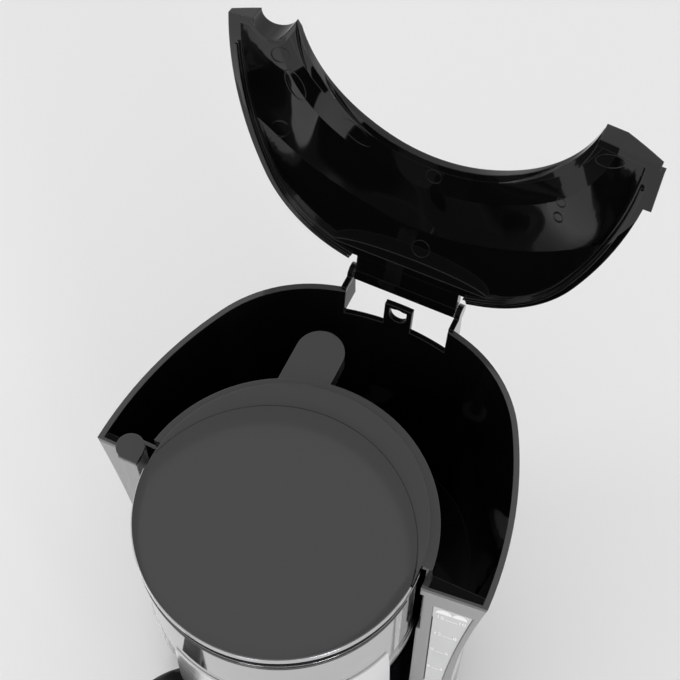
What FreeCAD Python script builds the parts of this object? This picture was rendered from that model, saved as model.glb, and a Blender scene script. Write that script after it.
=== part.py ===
# Drip coffee maker with a wrap-round water tank, a tank lid that stands open,
# a swing-out filter holder, a glass carafe and a hot plate.
# Millimetres, +Z up, origin on the table under the axis of the brew head, front towards -Y.
import FreeCAD
import Part
import Sketcher
import math
import os
from FreeCAD import Vector

doc = FreeCAD.newDocument("drip_coffee_maker")
sheet = doc.addObject("Spreadsheet::Sheet", "Dims")

# Driving dimensions, one cell each.
DIMENSIONS = {
    # heights above the table
    "foot_height": 4.0,
    "pan_thickness": 2.5,
    "base_top": 40.0,
    "waist_height": 170.0,
    "tank_floor": 150.0,
    "rim_height": 310.0,
    # plan of the tower
    "half_width": 108.0,
    "front_face": 4.0,
    "front_lead": 3.7,
    "panel_thickness": 2.5,
    "rim_lip": 3.0,
    "rim_edge": 1.6,
    "rim_step": 1.8,
    "rear_reach": 144.0,
    "rear_radius": 136.0,
    "corner_radius": 75.0,
    "side_radius": 215.0,
    "waist_inset": 10.5,
    "tower_wall": 3.0,
    "bay_radius": 74.5,
    "bay_wall": 3.0,
    # base; x places are measured in from the tower's side and rear y places from its rear
    "base_wall": 2.5,
    "base_front_radius": 76.0,
    "base_front_face": 6.0,
    "foot_radius": 8.0,
    "foot_spread_front": 46.0,
    "foot_spread_rear": 54.0,
    "foot_rear": 40.0,
    "screw_front_x": 28.0,
    "screw_front_y": 12.0,
    "screw_rear_x": 46.0,
    "screw_rear_y": 54.0,
    "screw_radius": 1.6,
    "screw_head_radius": 3.2,
    "screw_head_height": 1.5,
    "screw_length": 14.0,
    "boss_wall": 2.4,
    "boss_gap": 3.0,
    # brew head
    "cover_radius": 72.0,
    "cover_rise": 21.0,
    "cover_thickness": 4.0,
    "cover_edge_width": 7.0,
    "cover_edge_drop": 3.0,
    "cover_edge_radius": 10.0,
    "seam_edge_width": 12.0,
    "seam_edge_drop": 1.5,
    "seam_edge_radius": 49.0,
    "seam_radius": 72.6,
    "seam_shift": 16.2,
    "seat_drop": 4.5,
    "ledge_rise": 12.0,
    "deck_thickness": 2.0,
    "trim_height": 4.0,
    "trim_depth": 2.6,
    "trim_proud": 0.6,
    "trim_end": 7.0,
    "skirt_drop": 7.0,
    "tongue_width": 26.0,
    "tongue_x": 23.5,
    "tongue_rise": 11.0,
    "tongue_wall": 2.0,
    "riser_y": 92.0,
    "riser_drop": 8.0,
    "riser_radius": 5.0,
    "riser_bore": 3.4,
    "spray_radius": 3.4,
    "spray_bore": 2.4,
    "spray_rise": 3.4,
    "spray_end_y": 36.0,
    "shower_radius": 46.0,
    "shower_depth": 7.0,
    "shower_wall": 1.5,
    "shower_hole": 1.5,
    "shower_ring": 30.0,
    "shower_holes": 12,
    # swing-out filter holder
    "post_x": 86.0,
    "post_y": 2.5,
    "post_radius": 7.3,
    "post_front": 7.2,
    "post_left": 3.0,
    "post_right": 7.5,
    "post_cap_thickness": 2.5,
    "pin_radius": 2.0,
    "recess_gap": 0.9,
    "recess_wall": 2.0,
    "lug_height": 9.0,
    "lug_top": 231.0,
    "shell_top": 316.0,
    "shell_bottom": 248.0,
    "shell_thickness": 1.2,
    "hem_height": 2.4,
    "hem_proud": 1.0,
    "grip_rise": 22.0,
    "grip_drop": 22.0,
    "grip_wall": 1.2,
    "grip_flare": 0.6,
    "grip_left": 28.5,
    "grip_right": 23.5,
    "base_ring_height": 8.0,
    "base_ring_depth": 6.0,
    "holder_wall": 2.0,
    "holder_seat_drop": 14.0,
    "holder_seat_width": 2.6,
    "cone_bottom": 219.0,
    "outlet_radius": 14.0,
    "outlet_bore": 8.6,
    "basket_wall": 1.6,
    "basket_floor": 232.0,
    "basket_floor_radius": 24.0,
    "basket_holes": 8,
    "basket_hole": 2.5,
    "valve_radius": 7.8,
    "valve_stem": 4.0,
    "valve_tip": 207.0,
    "spray_notch": 27.0,
    "notch_gap": 1.0,
    "arm_height": 10.0,
    "pin_fit": 0.08,
    # tank lid; the hinge is measured out from the tower's rear
    "lid_wall": 2.4,
    "lid_lip": 4.5,
    "lid_lip_drop": 1.6,
    "lid_flange": 6.5,
    "lid_tab_start": 7.0,
    "lid_tab_length": 25.0,
    "lid_tab_reach": 2.0,
    "lid_tab_height": 3.5,
    "lid_edge_rise": 4.0,
    "lid_crown_margin": 5.0,
    "lid_post_gap": 1.6,
    "lid_bay_radius": 79.5,
    "lid_bay_shift": 13.0,
    "lid_tip_rise": 11.5,
    "lid_tip_slope": 25.0,
    "lid_rib_start": 20.0,
    "lid_rib_drop": 1.5,
    "lid_gap": 0.5,
    "lid_open_angle": 99.6,
    "hinge_y": 6.3,
    "hinge_rise": 2.7,
    "hinge_half": 29.5,
    "hinge_barrel": 4.0,
    "hinge_pin_radius": 1.6,
    "ear_thickness": 3.0,
    "ear_gap": 0.6,
    "ear_radius": 4.8,
    "hinge_notch_depth": 18.0,
    "hinge_block_half": 8.0,
    "hinge_block_drop": 1.0,
    "hinge_slot_half": 5.0,
    "hinge_slot_drop": 2.5,
    "hinge_slot_depth": 4.5,
    # gauge window
    "window_top": 291.0,
    "window_bottom": 160.0,
    "window_left": 81.6,
    "window_right": 102.4,
    "window_taper": 9.9,
    "window_lean": 1.0,
    "window_side_radius": 1430.0,
    "window_seal": 0.8,
    "window_lap": 1.5,
    "catch_width": 1.9,
    "catch_low": 250.0,
    "catch_high": 301.0,
    # hot plate and heater; the outlet is measured in from the tower's rear
    "plate_radius": 62.0,
    "plate_lip": 66.0,
    "plate_rise": 3.0,
    "plate_sheet": 1.5,
    "gasket_height": 0.8,
    "heater_radius": 40.0,
    "heater_tube": 6.5,
    "heater_bore": 3.5,
    "element_tube": 4.0,
    "heater_tail": 28.0,
    "clamp_width": 14.0,
    "clamp_sheet": 1.5,
    "hose_radius": 5.2,
    "hose_bore": 3.6,
    "outlet_x": 40.0,
    "outlet_y": 44.0,
    "strainer_height": 8.0,
    # carafe
    "carafe_foot_radius": 50.0,
    "carafe_belly_radius": 68.0,
    "carafe_belly_height": 52.0,
    "carafe_neck_radius": 46.0,
    "carafe_neck_height": 118.0,
    "carafe_shoulder_radius": 80.0,
    "carafe_height": 138.0,
    "glass_wall": 2.4,
    "collar_thickness": 1.4,
    "collar_height": 14.0,
    "handle_angle": 30.0,
    "handle_width": 20.0,
    "handle_reach": 112.0,
    "handle_bar": 13.0,
    "handle_top": 192.0,
    "handle_bottom": 78.0,
    "carafe_lid_radius": 49.5,
    "carafe_lid_top": 205.0,
    "pour_hole": 6.0,
    # switch and inlet; the switch is measured in from the tower's side
    "switch_x": 22.0,
    "switch_z": 70.0,
    "switch_width": 11.0,
    "switch_height": 24.0,
    "bezel_rim": 1.6,
    "rocker_gap": 0.4,
    "rocker_tilt": 8.0,
    "rocker_dip": 2.2,
    "rocker_proud": 1.6,
    "bezel_proud": 0.8,
    "switch_depth": 18.0,
    "lamp_radius": 2.4,
    "lamp_z": 96.0,
    "inlet_x": 20.0,
    "inlet_z": 22.0,
    "inlet_radius": 7.0,
    "cord_hole": 3.6,
    "inlet_length": 14.0,
    # fits
    "clearance": 0.3,
    "press_gap": 0.1,
}
for row, (alias, value) in enumerate(DIMENSIONS.items(), start=1):
    sheet.set(f"A{row}", alias)
    sheet.set(f"B{row}", str(value))
    sheet.setAlias(f"B{row}", alias)
doc.recompute()


class Size:
    """A length with its number and the sheet formula that drives it."""

    def __init__(self, number, formula):
        self.number = number
        self.formula = formula

    def __add__(self, other):
        other = as_size(other)
        return Size(self.number + other.number, f"({self.formula} + {other.formula})")

    def __sub__(self, other):
        other = as_size(other)
        return Size(self.number - other.number, f"({self.formula} - {other.formula})")

    def __mul__(self, factor):
        return Size(self.number * factor, f"({self.formula} * {factor})")

    __rmul__ = __mul__

    def __radd__(self, other):
        return as_size(other) + self

    def __rsub__(self, other):
        return as_size(other) - self

    def __neg__(self):
        return Size(-self.number, f"(0 - {self.formula})")

    def __float__(self):
        return self.number


def as_size(value):
    return value if isinstance(value, Size) else Size(float(value), f"({float(value)})")


class Dimensions:
    """The sheet's cells as sizes, by name."""


dim = Dimensions()
for alias in DIMENSIONS:
    setattr(dim, alias, Size(float(sheet.get(alias)), f"Dims.{alias}"))

pieces = {}
FAR = 400.0
AXIS_TURN = {
    "x": FreeCAD.Rotation(Vector(0, 1, 0), 90),
    "y": FreeCAD.Rotation(Vector(1, 0, 0), -90),
    "z": FreeCAD.Rotation(),
}


def bind(item, **lengths):
    for name, length in lengths.items():
        item.setExpression(name.replace("__", "."), as_size(length).formula)


def place(item, x=0, y=0, z=0):
    bind(item, Placement__Base__x=x, Placement__Base__y=y, Placement__Base__z=z)
    return item


def keep(label, item):
    item.Label = label
    pieces[label] = item
    return item


def box(x0, x1, y0, y1, z0, z1):
    item = doc.addObject("Part::Box", "block")
    x0, y0, z0 = as_size(x0), as_size(y0), as_size(z0)
    bind(item, Length=x1 - x0, Width=y1 - y0, Height=z1 - z0)
    return place(item, x0, y0, z0)


def rod(radius, start, end, x=0, y=0, z=0, axis="z"):
    """A cylinder from start to end along an axis; the other two coordinates place it."""
    item = doc.addObject("Part::Cylinder", "rod")
    item.Placement = FreeCAD.Placement(Vector(), AXIS_TURN[axis])
    bind(item, Radius=radius, Height=as_size(end) - start)
    spot = {"x": x, "y": y, "z": z}
    spot[axis] = start
    return place(item, **spot)


def frustum(low_radius, high_radius, start, end, x=0, y=0):
    item = doc.addObject("Part::Cone", "frustum")
    bind(item, Radius1=low_radius, Radius2=high_radius, Height=as_size(end) - start)
    return place(item, x, y, start)


def fuse(*items):
    if len(items) == 1:
        return items[0]
    item = doc.addObject("Part::MultiFuse", "joined")
    item.Shapes = list(items)
    return item


def cut(base, *tools):
    item = doc.addObject("Part::Cut", "trimmed")
    item.Base = base
    item.Tool = fuse(*tools)
    return item


def common(first, second):
    item = doc.addObject("Part::Common", "shared")
    item.Base = first
    item.Tool = second
    return item


def ring(outer, inner, start, end, x=0, y=0):
    return cut(rod(outer, start, end, x, y), rod(inner, start - 1, end + 1, x, y))


def group(items):
    item = doc.addObject("Part::Compound", "group")
    item.Links = list(items)
    return item


def shaped(shape, name="form"):
    item = doc.addObject("Part::Feature", name)
    item.Shape = shape
    return item


def sketch_loop(body, plane, corners):
    """A closed outline; a third value on a corner bends the side that leaves it to that radius."""
    sketch = body.newObject("Sketcher::SketchObject", "outline")
    support = [item for item in body.Origin.OriginFeatures if item.Role == plane][0]
    sketch.AttachmentSupport = [(support, "")]
    sketch.MapMode = "FlatFace"
    count = len(corners)
    spots = [Vector(float(c[0]), float(c[1]), 0) for c in corners]
    ends = []
    for index, corner in enumerate(corners):
        start, end = spots[index], spots[(index + 1) % count]
        if len(corner) == 2:
            sketch.addGeometry(Part.LineSegment(start, end))
            ends.append((1, 2))
            continue
        radius = float(corner[2])
        chord = end - start
        to_centre = math.sqrt(radius**2 - (chord.Length / 2) ** 2)
        inward = Vector(-chord.y, chord.x, 0).normalize() * math.copysign(to_centre, radius)
        centre = (start + end) * 0.5 + inward
        circle = Part.Circle(centre, Vector(0, 0, 1), abs(radius))
        first, last = (start, end) if radius > 0 else (end, start)
        angles = [math.atan2(p.y - centre.y, p.x - centre.x) for p in (first, last)]
        sketch.addGeometry(Part.ArcOfCircle(circle, angles[0], angles[1]))
        ends.append((1, 2) if radius > 0 else (2, 1))
    for index in range(count):
        following = (index + 1) % count
        sketch.addConstraint(
            Sketcher.Constraint("Coincident", index, ends[index][1], following, ends[following][0])
        )
    for index, corner in enumerate(corners):
        for kind, length in zip(("DistanceX", "DistanceY"), corner):
            rule = Sketcher.Constraint(kind, -1, 1, index, ends[index][0], float(length))
            number = sketch.addConstraint(rule)
            sketch.setExpression(f"Constraints[{number}]", as_size(length).formula)
        if len(corner) == 3:
            radius = as_size(corner[2])
            number = sketch.addConstraint(Sketcher.Constraint("Radius", index, abs(float(radius))))
            formula = radius.formula if radius.number > 0 else (-radius).formula
            sketch.setExpression(f"Constraints[{number}]", formula)
    return sketch


def turned(profile, x=0, y=0):
    """A body of revolution about a vertical axis, from (radius, height) corners."""
    body = doc.addObject("PartDesign::Body", "turned")
    sketch = sketch_loop(body, "XZ_Plane", profile)
    spin = body.newObject("PartDesign::Revolution", "spin")
    spin.Profile = sketch
    spin.ReferenceAxis = (sketch, ["V_Axis"])
    spin.Angle = 360
    return place(body, x, y)


def plate(corners, bottom, top):
    """A flat plate from its plan outline."""
    body = doc.addObject("PartDesign::Body", "plate")
    sketch = sketch_loop(body, "XY_Plane", corners)
    pad = body.newObject("PartDesign::Pad", "pad")
    pad.Profile = sketch
    bind(pad, Length=as_size(top) - bottom)
    return place(body, 0, 0, bottom)


def slab(corners, front, back):
    """A plate that stands across Y, from its (x, z) outline."""
    body = doc.addObject("PartDesign::Body", "slab")
    sketch = sketch_loop(body, "XZ_Plane", corners)
    pad = body.newObject("PartDesign::Pad", "pad")
    pad.Profile = sketch
    pad.Reversed = True
    bind(pad, Length=as_size(back) - front)
    return place(body, 0, front, 0)


def across(corners, left, right):
    """A bar along X from its (y, z) outline."""
    body = doc.addObject("PartDesign::Body", "bar")
    sketch = sketch_loop(body, "YZ_Plane", corners)
    pad = body.newObject("PartDesign::Pad", "pad")
    pad.Profile = sketch
    bind(pad, Length=as_size(right) - left)
    return place(body, left, 0, 0)


def bent_path(points, bend):
    """Straight runs joined by tangent arcs of one bend radius."""
    points = [Vector(*[float(c) for c in p]) for p in points]
    edges = []
    start = points[0]
    for before, corner, after in zip(points, points[1:], points[2:]):
        into, out = (corner - before).normalize(), (after - corner).normalize()
        half_turn = into.getAngle(out) / 2
        reach = bend * math.tan(half_turn)
        arc_start, arc_end = corner - into * reach, corner + out * reach
        inward = (out - into).normalize()
        middle = corner + inward * (bend / math.cos(half_turn) - bend)
        edges.append(Part.LineSegment(start, arc_start).toShape())
        edges.append(Part.Arc(arc_start, middle, arc_end).toShape())
        start = arc_end
    edges.append(Part.LineSegment(start, points[-1]).toShape())
    return Part.Wire(edges)


def pipe(points, bend, radius):
    """A round bar along a bent path."""
    path = bent_path(points, bend)
    first, second = [Vector(*[float(c) for c in p]) for p in points[:2]]
    section = Part.Wire(Part.Circle(first, second - first, float(radius)).toShape())
    return path.makePipeShell([section], True, False)


def hose(points, bend, radius, bore):
    return shaped(pipe(points, bend, radius).cut(pipe(points, bend, bore)), "hose")


def tower_outline(inset, height, front):
    """The tower's plan, drawn in by an inset: a front line, two sides, two corners and the rear."""
    rear = Vector(0, dim.rear_reach.number - dim.rear_radius.number, 0)
    side = Vector(dim.half_width.number - dim.side_radius.number, dim.front_face.number, 0)
    to_rear = dim.rear_radius.number - dim.corner_radius.number
    to_side = dim.side_radius.number - dim.corner_radius.number
    line = rear - side
    along = (to_side**2 - to_rear**2 + line.Length**2) / (2 * line.Length)
    across = math.sqrt(to_side**2 - along**2)
    direction = line.normalize()
    corner = side + direction * along + Vector(-direction.y, direction.x, 0) * across

    def on_arc(centre, radius, angle):
        return centre + Vector(math.cos(angle), math.sin(angle), 0) * (radius - inset)

    def heading(start, end):
        return math.atan2(end.y - start.y, end.x - start.x)

    side_turn, corner_turn = heading(side, corner), heading(rear, corner)
    foot = Vector(dim.half_width.number - inset, front, 0)
    right = [
        foot,
        on_arc(side, dim.side_radius.number, 0),
        on_arc(side, dim.side_radius.number, side_turn / 2),
        on_arc(side, dim.side_radius.number, side_turn),
        on_arc(corner, dim.corner_radius.number, (side_turn + corner_turn) / 2),
        on_arc(rear, dim.rear_radius.number, corner_turn),
    ]
    crown = Vector(0, dim.rear_reach.number - inset, 0)
    left = [Vector(-p.x, p.y, 0) for p in reversed(right)]
    points = [p + Vector(0, 0, height) for p in right + [crown] + left]
    edges = [Part.LineSegment(points[0], points[1]).toShape()]
    for start in (1, 3, 5, 7, 9):
        edges.append(Part.Arc(*points[start : start + 3]).toShape())
    edges.append(Part.LineSegment(points[11], points[12]).toShape())
    edges.append(Part.LineSegment(points[12], points[0]).toShape())
    return Part.Wire(edges)


def tower_inset(height):
    """How far the tower is drawn in at a height: none at the rim, most from the waist down."""
    span = dim.rim_height.number - dim.waist_height.number
    share = min(max((dim.rim_height.number - height) / span, 0), 1)
    return dim.waist_inset.number * share * (2 - share)


def tower_loft(wall, bottom, top, steps=7):
    front = dim.front_face.number - dim.front_lead.number - 4 * dim.panel_thickness.number
    heights = [bottom + (top - bottom) * step / (steps - 1) for step in range(steps)]
    wires = [tower_outline(tower_inset(h) + wall, h, front) for h in heights]
    return Part.makeLoft(wires, True, False)


def slanted_band(front_offset, back, left, right, bottom, top):
    """The space between the front faces, which lean forward towards the brew head, and a plane."""
    lead_start = dim.front_face - dim.front_lead + front_offset
    outer = dim.front_face + front_offset
    inner_x, outer_x = as_size(left), as_size(right)
    corners = [(inner_x, lead_start), (outer_x, outer), (outer_x, back), (inner_x, back)]
    return plate(corners, bottom, top)


panel_back = dim.front_face + dim.panel_thickness
ledge_radius = dim.bay_radius + dim.bay_wall
cover_top = dim.rim_height + dim.cover_rise
cover_bottom = cover_top - dim.cover_thickness
deck_bottom = cover_bottom - dim.deck_thickness
seat_top = cover_top - dim.seat_drop
ledge_top = dim.rim_height + dim.ledge_rise
post_x = -dim.post_x
post_y = dim.post_y
lug_bottom = dim.lug_top - dim.lug_height
recess_left = post_x - dim.post_radius - dim.recess_gap
recess_back = post_y + dim.post_radius + dim.recess_gap
tongue_x = -dim.tongue_x
hinge_y = dim.rear_reach + dim.hinge_y
outlet_y = dim.rear_reach - dim.outlet_y
switch_x = dim.half_width - dim.switch_x
base_bottom = dim.foot_height + dim.pan_thickness
deck_underside = dim.base_top - dim.base_wall

# Tower forms, shared by the tank, the column and the front panels.
tower_form = shaped(tower_loft(0, dim.base_top.number, dim.rim_height.number), "tower_form")
tower_core = shaped(
    tower_loft(dim.tower_wall.number, dim.base_top.number, dim.rim_height.number), "tower_core"
)
bay = rod(dim.bay_radius, -1, FAR)


def post_recess(wall, bottom):
    """Room for the hinge post, open to the front: round behind the barrel, straight to the bay."""
    return fuse(
        rod(dim.post_radius + dim.recess_gap + wall, bottom, FAR, post_x, post_y),
        box(recess_left - wall, post_x, -FAR, post_y, bottom, FAR),
        box(post_x, 0, -FAR, recess_back + wall, bottom, FAR),
    )


recess = post_recess(0, lug_bottom)


def keyhole(bottom, top, trim=0):
    """Plan of the hinge post: a round barrel with a flat front."""
    barrel = rod(dim.post_radius - trim, bottom, top, post_x, post_y)
    nose = box(
        post_x - dim.post_left, post_x + dim.post_right, post_y - dim.post_front, post_y, bottom, top
    )
    return fuse(barrel, nose)


def window_outline(spread):
    """The gauge window's outline with its hollow right side, grown all round by a spread."""
    low_right = dim.window_right - dim.window_taper
    return [
        (dim.window_left + dim.window_lean - spread, dim.window_bottom - spread),
        (low_right + spread, dim.window_bottom - spread, -dim.window_side_radius),
        (dim.window_right + spread, dim.window_top + spread),
        (dim.window_left - spread, dim.window_top + spread),
    ]


# Water tank: outer wall, floor and the round wall behind the brew head, in one moulding.
tank_block = common(tower_form, box(-FAR, FAR, panel_back, FAR, dim.tank_floor, dim.rim_height))
tank_room = common(
    tower_core, box(-FAR, FAR, panel_back + dim.tower_wall, FAR, dim.tank_floor + dim.tower_wall, FAR)
)
room_stays = [
    rod(ledge_radius, 0, FAR),
    post_recess(dim.recess_wall, lug_bottom - dim.recess_wall),
]
floor_top = dim.tank_floor + dim.tower_wall
grommet_radius = dim.riser_radius + dim.press_gap + dim.bay_wall
riser_hole = rod(grommet_radius, 0, floor_top + 1, tongue_x, dim.riser_y)
outlet_hole = rod(dim.hose_radius + dim.press_gap, 0, floor_top + 1, dim.outlet_x, outlet_y)
window_hole = slab(window_outline(-dim.window_lap), 0, dim.bay_radius * 0.5)
notch_half = dim.hinge_half + dim.ear_gap
notch_front = dim.rear_reach - dim.tower_wall * 4
notch_bottom = dim.rim_height - dim.hinge_notch_depth
notch_step = dim.rim_height - dim.hinge_block_drop
slot_top = notch_step - dim.hinge_slot_drop
slot_low = slot_top - dim.hinge_slot_depth
slot_half = dim.hinge_slot_half
notches = [
    box(-notch_half, notch_half, notch_front, FAR, notch_step, FAR),
    box(-notch_half, -dim.hinge_block_half, notch_front, FAR, notch_bottom, FAR),
    box(dim.hinge_block_half, notch_half, notch_front, FAR, notch_bottom, FAR),
    box(-slot_half, slot_half, notch_front, FAR, slot_low, slot_top),
    rod(slot_half, notch_front, FAR, 0, 0, slot_low, "y"),
]
lip_bottom = dim.rim_height - dim.rim_lip
panel_inner = dim.bay_radius - dim.bay_wall
panel_outer = dim.half_width + dim.panel_thickness
rim_lips = cut(
    common(tower_form, fuse(
        slanted_band(0, panel_back + 1, panel_inner, panel_outer, lip_bottom, dim.rim_height),
        box(-panel_outer, recess_left, dim.front_face, panel_back + 1, lip_bottom, dim.rim_height),
    )),
    bay,
)
step_bottom = dim.rim_height - dim.rim_step
step_back = panel_back + dim.tower_wall + 1
rim_steps = common(tower_core, fuse(
    slanted_band(dim.rim_edge, step_back, dim.bay_radius, panel_outer, step_bottom, FAR),
    box(-panel_outer, recess_left, dim.front_face + dim.rim_edge, step_back, step_bottom, FAR),
))
tank_shell = cut(
    fuse(tank_block, rim_lips), cut(tank_room, *room_stays), cut(rim_steps, *room_stays), bay, recess,
    riser_hole, outlet_hole, window_hole, *notches,
)
hinge_z = dim.rim_height + dim.hinge_rise
pin_bore = rod(dim.hinge_pin_radius + dim.press_gap, -FAR / 2, FAR / 2, 0, hinge_y, hinge_z, "x")
ears = []
for side in (-1, 1):
    inner = notch_half if side > 0 else -notch_half - dim.ear_thickness
    outer = inner + dim.ear_thickness
    ears.append(rod(dim.ear_radius, inner, outer, 0, hinge_y, hinge_z, "x"))
    ear_front = notch_front + dim.tower_wall * 2
    ears.append(box(inner, outer, ear_front, hinge_y, notch_bottom, hinge_z))
lug = common(keyhole(lug_bottom, dim.lug_top), box(-FAR, 0, -FAR, FAR, 0, FAR))
lug_root = box(recess_left, post_x + dim.post_right, post_y, recess_back, lug_bottom, dim.lug_top)
pin_seat = lug_bottom + dim.tower_wall
pin_hole = rod(dim.pin_radius + dim.press_gap, pin_seat, FAR, post_x, post_y)
keep("water_tank", cut(fuse(tank_shell, *ears, lug, lug_root), pin_bore, pin_hole))

# Rear column: hollow stem between the base and the tank that hides the hoses.
column_block = common(tower_form, box(-FAR, FAR, panel_back, FAR, dim.base_top, dim.tank_floor))
column_room = common(
    tower_core,
    box(-FAR, FAR, panel_back + dim.tower_wall, FAR, dim.base_top - 1, dim.tank_floor + 1),
)
switch_low = dim.switch_z - dim.switch_height * 0.5
switch_high = dim.switch_z + dim.switch_height * 0.5
switch_left = switch_x - dim.switch_width * 0.5
switch_right = switch_x + dim.switch_width * 0.5
switch_hole = box(
    switch_left - dim.bezel_rim, switch_right + dim.bezel_rim, -FAR, dim.bay_radius * 0.5,
    switch_low - dim.bezel_rim, switch_high + dim.bezel_rim,
)
lamp_hole = rod(
    dim.lamp_radius + dim.press_gap, -FAR, dim.bay_radius * 0.5, switch_x, 0, dim.lamp_z, "y"
)
keep(
    "rear_column",
    cut(column_block, cut(column_room, rod(ledge_radius, 0, FAR)), bay, switch_hole, lamp_hole),
)

# Front panels: two silver facings on the tower, the right one round the gauge window.
panel_top = lip_bottom - dim.clearance
right_band = slanted_band(0, panel_back, panel_inner, panel_outer, dim.base_top, panel_top)
window_cut = slab(window_outline(0), -FAR / 8, FAR / 8)
catch_recess = box(
    0, dim.bay_radius + dim.catch_width, -FAR, panel_back, dim.catch_low, dim.catch_high
)
keep("right_front_panel", cut(
    common(tower_form, right_band), bay, window_cut, catch_recess, switch_hole, lamp_hole
))
left_low = slanted_band(0, panel_back, panel_inner, panel_outer, dim.base_top, lug_bottom)
mirrored = doc.addObject("Part::Mirroring", "left_low")
mirrored.Source = left_low
mirrored.Normal = Vector(1, 0, 0)
left_high = box(-FAR, recess_left, dim.front_face, panel_back, lug_bottom, panel_top)
keep("left_front_panel", cut(common(tower_form, fuse(mirrored, left_high)), bay))

# Gauge window with its seal, between the right panel and the tank.
window_band = slanted_band(0.6, panel_back - dim.window_seal, dim.bay_radius, dim.half_width, 0, FAR)
keep("gauge_window", common(slab(window_outline(-dim.press_gap), -FAR / 8, FAR / 8), window_band))
seal_hole = slab(window_outline(-dim.window_lap), -FAR / 8, FAR / 8)
keep(
    "window_seal",
    cut(slab(window_outline(-dim.press_gap), panel_back - dim.window_seal, panel_back), seal_hole),
)

# Brew head: fixed hood with the seat for the lid, the ledge, the tongue over the spray arm.
deck_radius = dim.cover_radius - dim.trim_depth
skirt_radius = deck_radius - dim.tower_wall
ledge_bottom = ledge_top - dim.tower_wall
rear_half = box(-FAR, FAR, panel_back, FAR, 0, FAR)
left_end = box(-FAR, -skirt_radius, -FAR, recess_back, 0, FAR)
spray_z = dim.rim_height + dim.spray_rise
riser_top = dim.rim_height - dim.riser_drop
shower_bottom = deck_bottom - dim.shower_depth
spray_end_x = tongue_x.number * dim.spray_end_y.number / dim.riser_y.number
spray_route = [
    (tongue_x, dim.riser_y, riser_top),
    (tongue_x, dim.riser_y, spray_z),
    (spray_end_x, dim.spray_end_y, spray_z),
    (spray_end_x, dim.spray_end_y, shower_bottom + dim.shower_wall),
]
spray_bend = dim.spray_radius.number * 1.25
spray_space = shaped(pipe(spray_route, spray_bend, dim.spray_radius + dim.clearance), "spray_space")
crescent = cut(
    rod(dim.cover_radius, deck_bottom, seat_top),
    rod(dim.seam_radius, deck_bottom - 1, seat_top + 1, 0, -dim.seam_shift),
)
ledge_rings = fuse(
    ring(ledge_radius, skirt_radius, ledge_bottom, ledge_top),
    ring(ledge_radius, dim.bay_radius, dim.rim_height, ledge_bottom + 1),
    ring(dim.cover_radius, skirt_radius, ledge_bottom, deck_bottom + 1),
)
tongue_top = dim.rim_height + dim.tongue_rise
tongue_half = dim.tongue_width * 0.5


def tongue_block(wall, bottom, top):
    half = tongue_half - wall
    straight = box(tongue_x - half, tongue_x + half, dim.bay_radius * 0.5, dim.riser_y, bottom, top)
    return fuse(straight, rod(half, bottom, top, tongue_x, dim.riser_y))


tongue = cut(
    tongue_block(0, dim.rim_height, tongue_top),
    tongue_block(dim.tongue_wall, dim.rim_height - 1, tongue_top - dim.tongue_wall),
    rod(dim.bay_radius + dim.clearance, 0, FAR),
)
cover_seat = common(
    rod(deck_radius, deck_bottom, cover_bottom),
    rod(dim.seam_radius - dim.clearance, deck_bottom, cover_bottom, 0, -dim.seam_shift),
)
hood = fuse(
    rod(deck_radius, deck_bottom, seat_top),
    cover_seat,
    ring(deck_radius, skirt_radius, deck_bottom - dim.skirt_drop, deck_bottom + 1),
    crescent,
    cut(common(ledge_rings, rear_half), left_end),
    tongue,
)
keep("brew_hood", cut(hood, spray_space))


# Brew head cover: glossy lens-shaped cap with a domed edge, cut by the seam behind.
def domed_disc(radius, width, drop, edge_radius, y=0):
    return turned([
        (0, cover_bottom),
        (radius, cover_bottom),
        (radius, cover_top - drop, edge_radius),
        (radius - width, cover_top),
        (0, cover_top),
    ], 0, y)


keep("brew_cover", common(
    domed_disc(dim.cover_radius, dim.cover_edge_width, dim.cover_edge_drop, dim.cover_edge_radius),
    domed_disc(dim.seam_radius - dim.clearance, dim.seam_edge_width, dim.seam_edge_drop,
               dim.seam_edge_radius, -dim.seam_shift),
))

# Bright trim ring round the front of the brew head.
trim = ring(
    dim.cover_radius + dim.trim_proud, deck_radius + dim.press_gap,
    cover_bottom - dim.trim_height, cover_bottom,
)
keep("trim_ring", common(trim, box(-FAR, FAR, -FAR, -dim.trim_end, 0, FAR)))

# Water path above the tank: riser, its grommet, spray arm and shower head.
riser_bottom = dim.tank_floor - dim.riser_drop
keep("riser_tube", cut(
    rod(dim.riser_radius, riser_bottom, riser_top, tongue_x, dim.riser_y),
    rod(dim.riser_bore, riser_bottom - 1, riser_top + 1, tongue_x, dim.riser_y),
))
keep("riser_grommet", cut(
    fuse(
        rod(grommet_radius, dim.tank_floor, floor_top, tongue_x, dim.riser_y),
        rod(grommet_radius + dim.bay_wall, floor_top, floor_top + dim.tower_wall, tongue_x, dim.riser_y),
    ),
    rod(dim.riser_radius + dim.press_gap, 0, FAR, tongue_x, dim.riser_y),
))
keep("spray_arm", hose(spray_route, spray_bend, dim.spray_radius, dim.spray_bore))
shower_cup = turned([
    (0, shower_bottom),
    (dim.shower_radius, shower_bottom),
    (dim.shower_radius, deck_bottom),
    (dim.shower_radius - dim.shower_wall, deck_bottom),
    (dim.shower_radius - dim.shower_wall, shower_bottom + dim.shower_wall),
    (0, shower_bottom + dim.shower_wall),
])
sprays = []
hole_count = int(dim.shower_holes.number)
for share in (0.4, 1.0):
    for step in range(hole_count):
        turn = 2 * math.pi * (step + 0.5) / hole_count
        reach = dim.shower_ring * share
        sprays.append(
            rod(dim.shower_hole, shower_bottom - 1, deck_bottom - 1,
                reach * math.cos(turn), reach * math.sin(turn))
        )
keep("shower_head", cut(shower_cup, spray_space, *sprays))

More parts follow.
